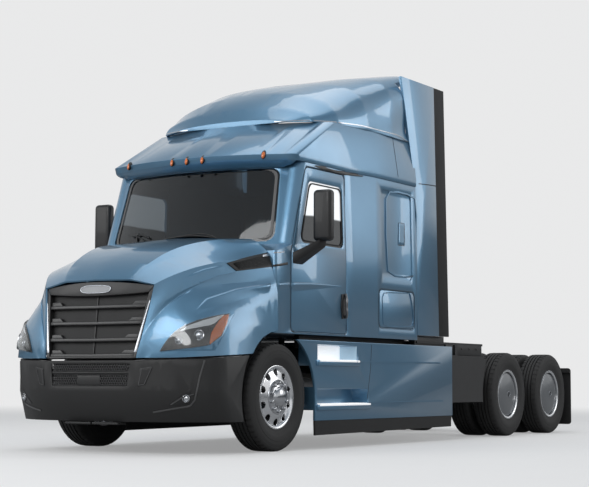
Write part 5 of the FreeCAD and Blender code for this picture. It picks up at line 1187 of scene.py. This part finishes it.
bothSides(tube("doorHandle", handleSpots, handleLook["radius"]), "door_left", "handleGrey", 60)
print("stage side fittings")

# Steps, sills and the deck's edges.
stepLook = {
    # low corner, high corner; how many studs across and along
    "treads": {"upperTread": ((1.03, 0.645, 0.8602), (1.222, 1.42, 0.8655), (5, 26)),
               "lowerTread": ((1.03, 0.645, 0.4302), (1.222, 1.64, 0.4355), (5, 30))},
    "studRadius": 0.006, "studTall": 0.004, "studRise": 0.0012, "studFrom": (0.02, 0.03),
    # name: low corner, high corner, finish, rounding
    "blocks": {"innerSill": ((0.94, 0.62, 0.98), (1.00, 3.58, 1.105), "blackPlastic", 0.006),
               "rearSill": ((1.03, 2.875, 1.00), (1.11, 3.60, 1.162), "blackPlastic", 0.006),
               "deckLip": ((1.085, 3.63, 0.956), (1.119, 4.60, 1.098), "blackPlastic", 0.006),
               "upperKickPlate": ((1.0105, 0.645, 0.862), (1.0180, 1.400, 1.008), "brightPlate", 0.0015),
               "upperTreadEdge": ((1.2262, 0.640, 0.846), (1.2300, 1.430, 0.864), "brightPlate", 0.0015),
               "lowerTreadEdge": ((1.2262, 0.640, 0.416), (1.2300, 1.655, 0.434), "brightPlate", 0.0015)},
    "rearLip": ((-1.085, 4.585, 0.975), (1.085, 4.615, 1.098)),
    # where the facet beside the upper step starts, and how deep it goes, how far back, how tall
    "facet": ((1.012, 1.384, 0.862), (0.185, 0.034, 0.146)),
    "bolt": ((0.0, 0.013), (0.005, 0.013), (0.008, 0.009), (0.009, 0.002)), "boltPlace": (1.1195, 3.05, 1.035),
    "boltPitch": 0.2, "bolts": 8,
}


def treadPlate(name, low, high, studs):
    plate = applyAll(block(name, low, high, 0.004))
    inset = stepLook["studFrom"]
    choose()
    bpy.ops.mesh.primitive_cylinder_add(
        vertices=8, radius=stepLook["studRadius"], depth=stepLook["studTall"],
        location=(low[0] + inset[0], low[1] + inset[1], high[2] + stepLook["studRise"]))
    stud = begun("stud")
    repeat(stud, "across", studs[0], ((high[0] - low[0] - 2 * inset[0]) / (studs[0] - 1), 0, 0))
    repeat(stud, "along", studs[1], (0, (high[1] - low[1] - 2 * inset[1]) / (studs[1] - 1), 0))
    applyAll(stud)
    return joined([plate, stud], name)


def facetSpot(u, v):
    (x, y, z), (deep, back, tall) = stepLook["facet"]
    return at(x + deep * u, y + back * u, z + tall * v)


# The treads, the kick plate and the tread edges glow with painted light.
for name, (low, high, studs) in stepLook["treads"].items():
    bothSides(treadPlate(name, at(*low), at(*high), studs), "vehicle", "brightPlate")
for name, (low, high, finish, rounding) in stepLook["blocks"].items():
    bothSides(block(name, at(*low), at(*high), rounding), "vehicle", finish)
settle(block("deckRearLip", *[at(*corner) for corner in stepLook["rearLip"]], 0.006), "vehicle", "blackPlastic")
# A light, glowing blue sheet over the step well's opening: painted light for a lit facet.
facet = gridPiece("stepFacet", 8, 6, facetSpot, at(1.1, 0, 0.93))
wall(facet, 0.004)
bothSides(facet, "vehicle", "facetBlue", 40, 0.001)
bolts = []
for number in range(stepLook["bolts"]):
    head = lathed("deckBolt", stepLook["bolt"], 6, False)
    x, y, z = stepLook["boltPlace"]
    head.data.transform(Matrix.Translation(at(x, y + stepLook["boltPitch"] * number, z)))
    bolts.append(head)
bothSides(joined(bolts, "deckBolts"), "vehicle", "forgedSteel")

# The mirrors: an arm from the door, and the CAD node's foot under a rounder head.
mirrorLook = {
    "neck": 1.9995, "rounding": 0.042, "roundSteps": 5,
    # foot on the door, then the end at the stem: low front, low rear, high rear, high front
    "foot": ((1.128, 0.252, 1.765), (1.128, 0.452, 1.765), (1.128, 0.440, 1.862), (1.128, 0.258, 1.878)),
    "end": ((1.300, 0.455, 1.935), (1.336, 0.560, 1.945), (1.350, 0.560, 2.015), (1.318, 0.462, 2.020)),
    "glass": (((1.262, 0.563, 2.16), (1.422, 0.569, 2.46)), ((1.262, 0.563, 2.04), (1.422, 0.569, 2.14))),
}
choose()
bpy.ops.mesh.primitive_cube_add(size=1.0)
arm = begun("mirrorArm")
for vertex in arm.data.vertices:
    corners = mirrorLook["end" if vertex.co.x > 0 else "foot"]
    order = {(False, False): 0, (True, False): 1, (True, True): 2, (False, True): 3}
    vertex.co = at(*corners[order[(vertex.co.y > 0, vertex.co.z > 0)]])
bothSides(arm, "door_left", "blackPlastic", 40, 0.012, "dark_plastic")
for side in ("left", "right"):
    foot = nodeCopy("mirror_" + side, "mirrorFoot")
    head = [vertex.co for vertex in foot.data.vertices if vertex.co.z > mirrorLook["neck"]]
    low, high = [[pick(corner[axis] for corner in head) for axis in range(3)] for pick in (min, max)]
    choose(foot)
    for vertex in foot.data.vertices:
        vertex.select = vertex.co.z > mirrorLook["neck"]
    bpy.ops.object.mode_set(mode="EDIT")
    bpy.ops.mesh.delete(type="VERT")
    endEdit()
    shell = block("mirrorShell", low, high, mirrorLook["rounding"])
    shell.modifiers["softEdge"].segments = mirrorLook["roundSteps"]
    housing = joined([foot, applyAll(shell)], "mirrorHousing" + side.title())
    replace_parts(settle(housing, "door_" + side, "blackPlastic", 40, "dark_plastic"), "mirror_" + side)
panes = [applyAll(block("mirrorGlass", at(*low), at(*high), 0.002)) for low, high in mirrorLook["glass"]]
bothSides(joined(panes, "mirrorGlass"), "door_left", "mirrorSilver")
print("stage steps and deck")

# Seats and bunk: the cushions get their shape from air pressure on cloth.
cushionLook = {
    "quality": 4, "pressure": 4.0, "frames": 20, "rounding": 0.035, "cap": 0.013,
    # low corner, high corner, on the left seat, then of the frame that carries it
    "seats": {"seatCushion": ((0.375, 0.675, 1.475), (0.865, 1.165, 1.605),
                              (0.425, 0.725, 1.156), (0.815, 1.115, 1.505)),
              "seatBack": ((0.375, 1.195, 1.64), (0.865, 1.295, 2.165),
                           (0.405, 1.275, 1.50), (0.835, 1.307, 2.115))},
    "mattress": ((-1.06, 1.825, 1.702), (1.06, 2.785, 1.825)),
    "boards": (((-1.083, 1.802, 1.655), (1.083, 2.798, 1.692)), ((-1.083, 1.802, 1.157), (1.083, 1.83, 1.66))),
}


def plump(name, low, high, voxel):
    # Swells a closed form by air pressure, with no point moving further than the cap.
    piece = applyAll(block(name, low, high, cushionLook["rounding"]))
    choose(piece)
    piece.data.remesh_voxel_size = voxel
    bpy.ops.object.voxel_remesh()
    rest = [vertex.co.copy() for vertex in piece.data.vertices]
    air = piece.modifiers.new("air", "CLOTH")
    air.settings.quality = cushionLook["quality"]
    air.settings.use_pressure = True
    air.settings.uniform_pressure_force = cushionLook["pressure"]
    air.settings.effector_weights.gravity = 0.0
    air.point_cache.frame_start = 1
    air.point_cache.frame_end = cushionLook["frames"]
    for frameNumber in range(1, cushionLook["frames"] + 1):
        bpy.context.scene.frame_set(frameNumber)
    swollen = piece.evaluated_get(bpy.context.evaluated_depsgraph_get())
    spots = [vertex.co.copy() for vertex in swollen.data.vertices]
    piece.modifiers.remove(air)
    bpy.context.scene.frame_set(1)
    for vertex, before, after in zip(piece.data.vertices, rest, spots):
        shift = after - before
        if shift.length > cushionLook["cap"]:
            shift.length = cushionLook["cap"]
        vertex.co = before + shift
    modify(piece, "smooth", "SUBSURF", levels=1, render_levels=1)
    return applyAll(piece)


def cushion(piece, node):
    settle(piece, "vehicle", "seatCloth", 60)
    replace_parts(piece, node)


for name, corners in cushionLook["seats"].items():
    low, high, frameLow, frameHigh = [at(*corner) for corner in corners]
    pad = plump(name, low, high, 0.012)
    for piece in (pad, otherSide(pad, name + "Right")):
        cushion(piece, "seats")
    for piece in bothSides(block(name + "Frame", frameLow, frameHigh, 0.01), "vehicle", "dashPlastic"):
        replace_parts(piece, "seats")
cushion(plump("mattress", *[at(*corner) for corner in cushionLook["mattress"]], 0.024), "bunk")
boards = [applyAll(block("bunkBoard", at(*low), at(*high), 0.008)) for low, high in cushionLook["boards"]]
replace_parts(settle(joined(boards, "bunkBase"), "vehicle", "cabLining"), "bunk")
print("stage seats")

print("stage done")
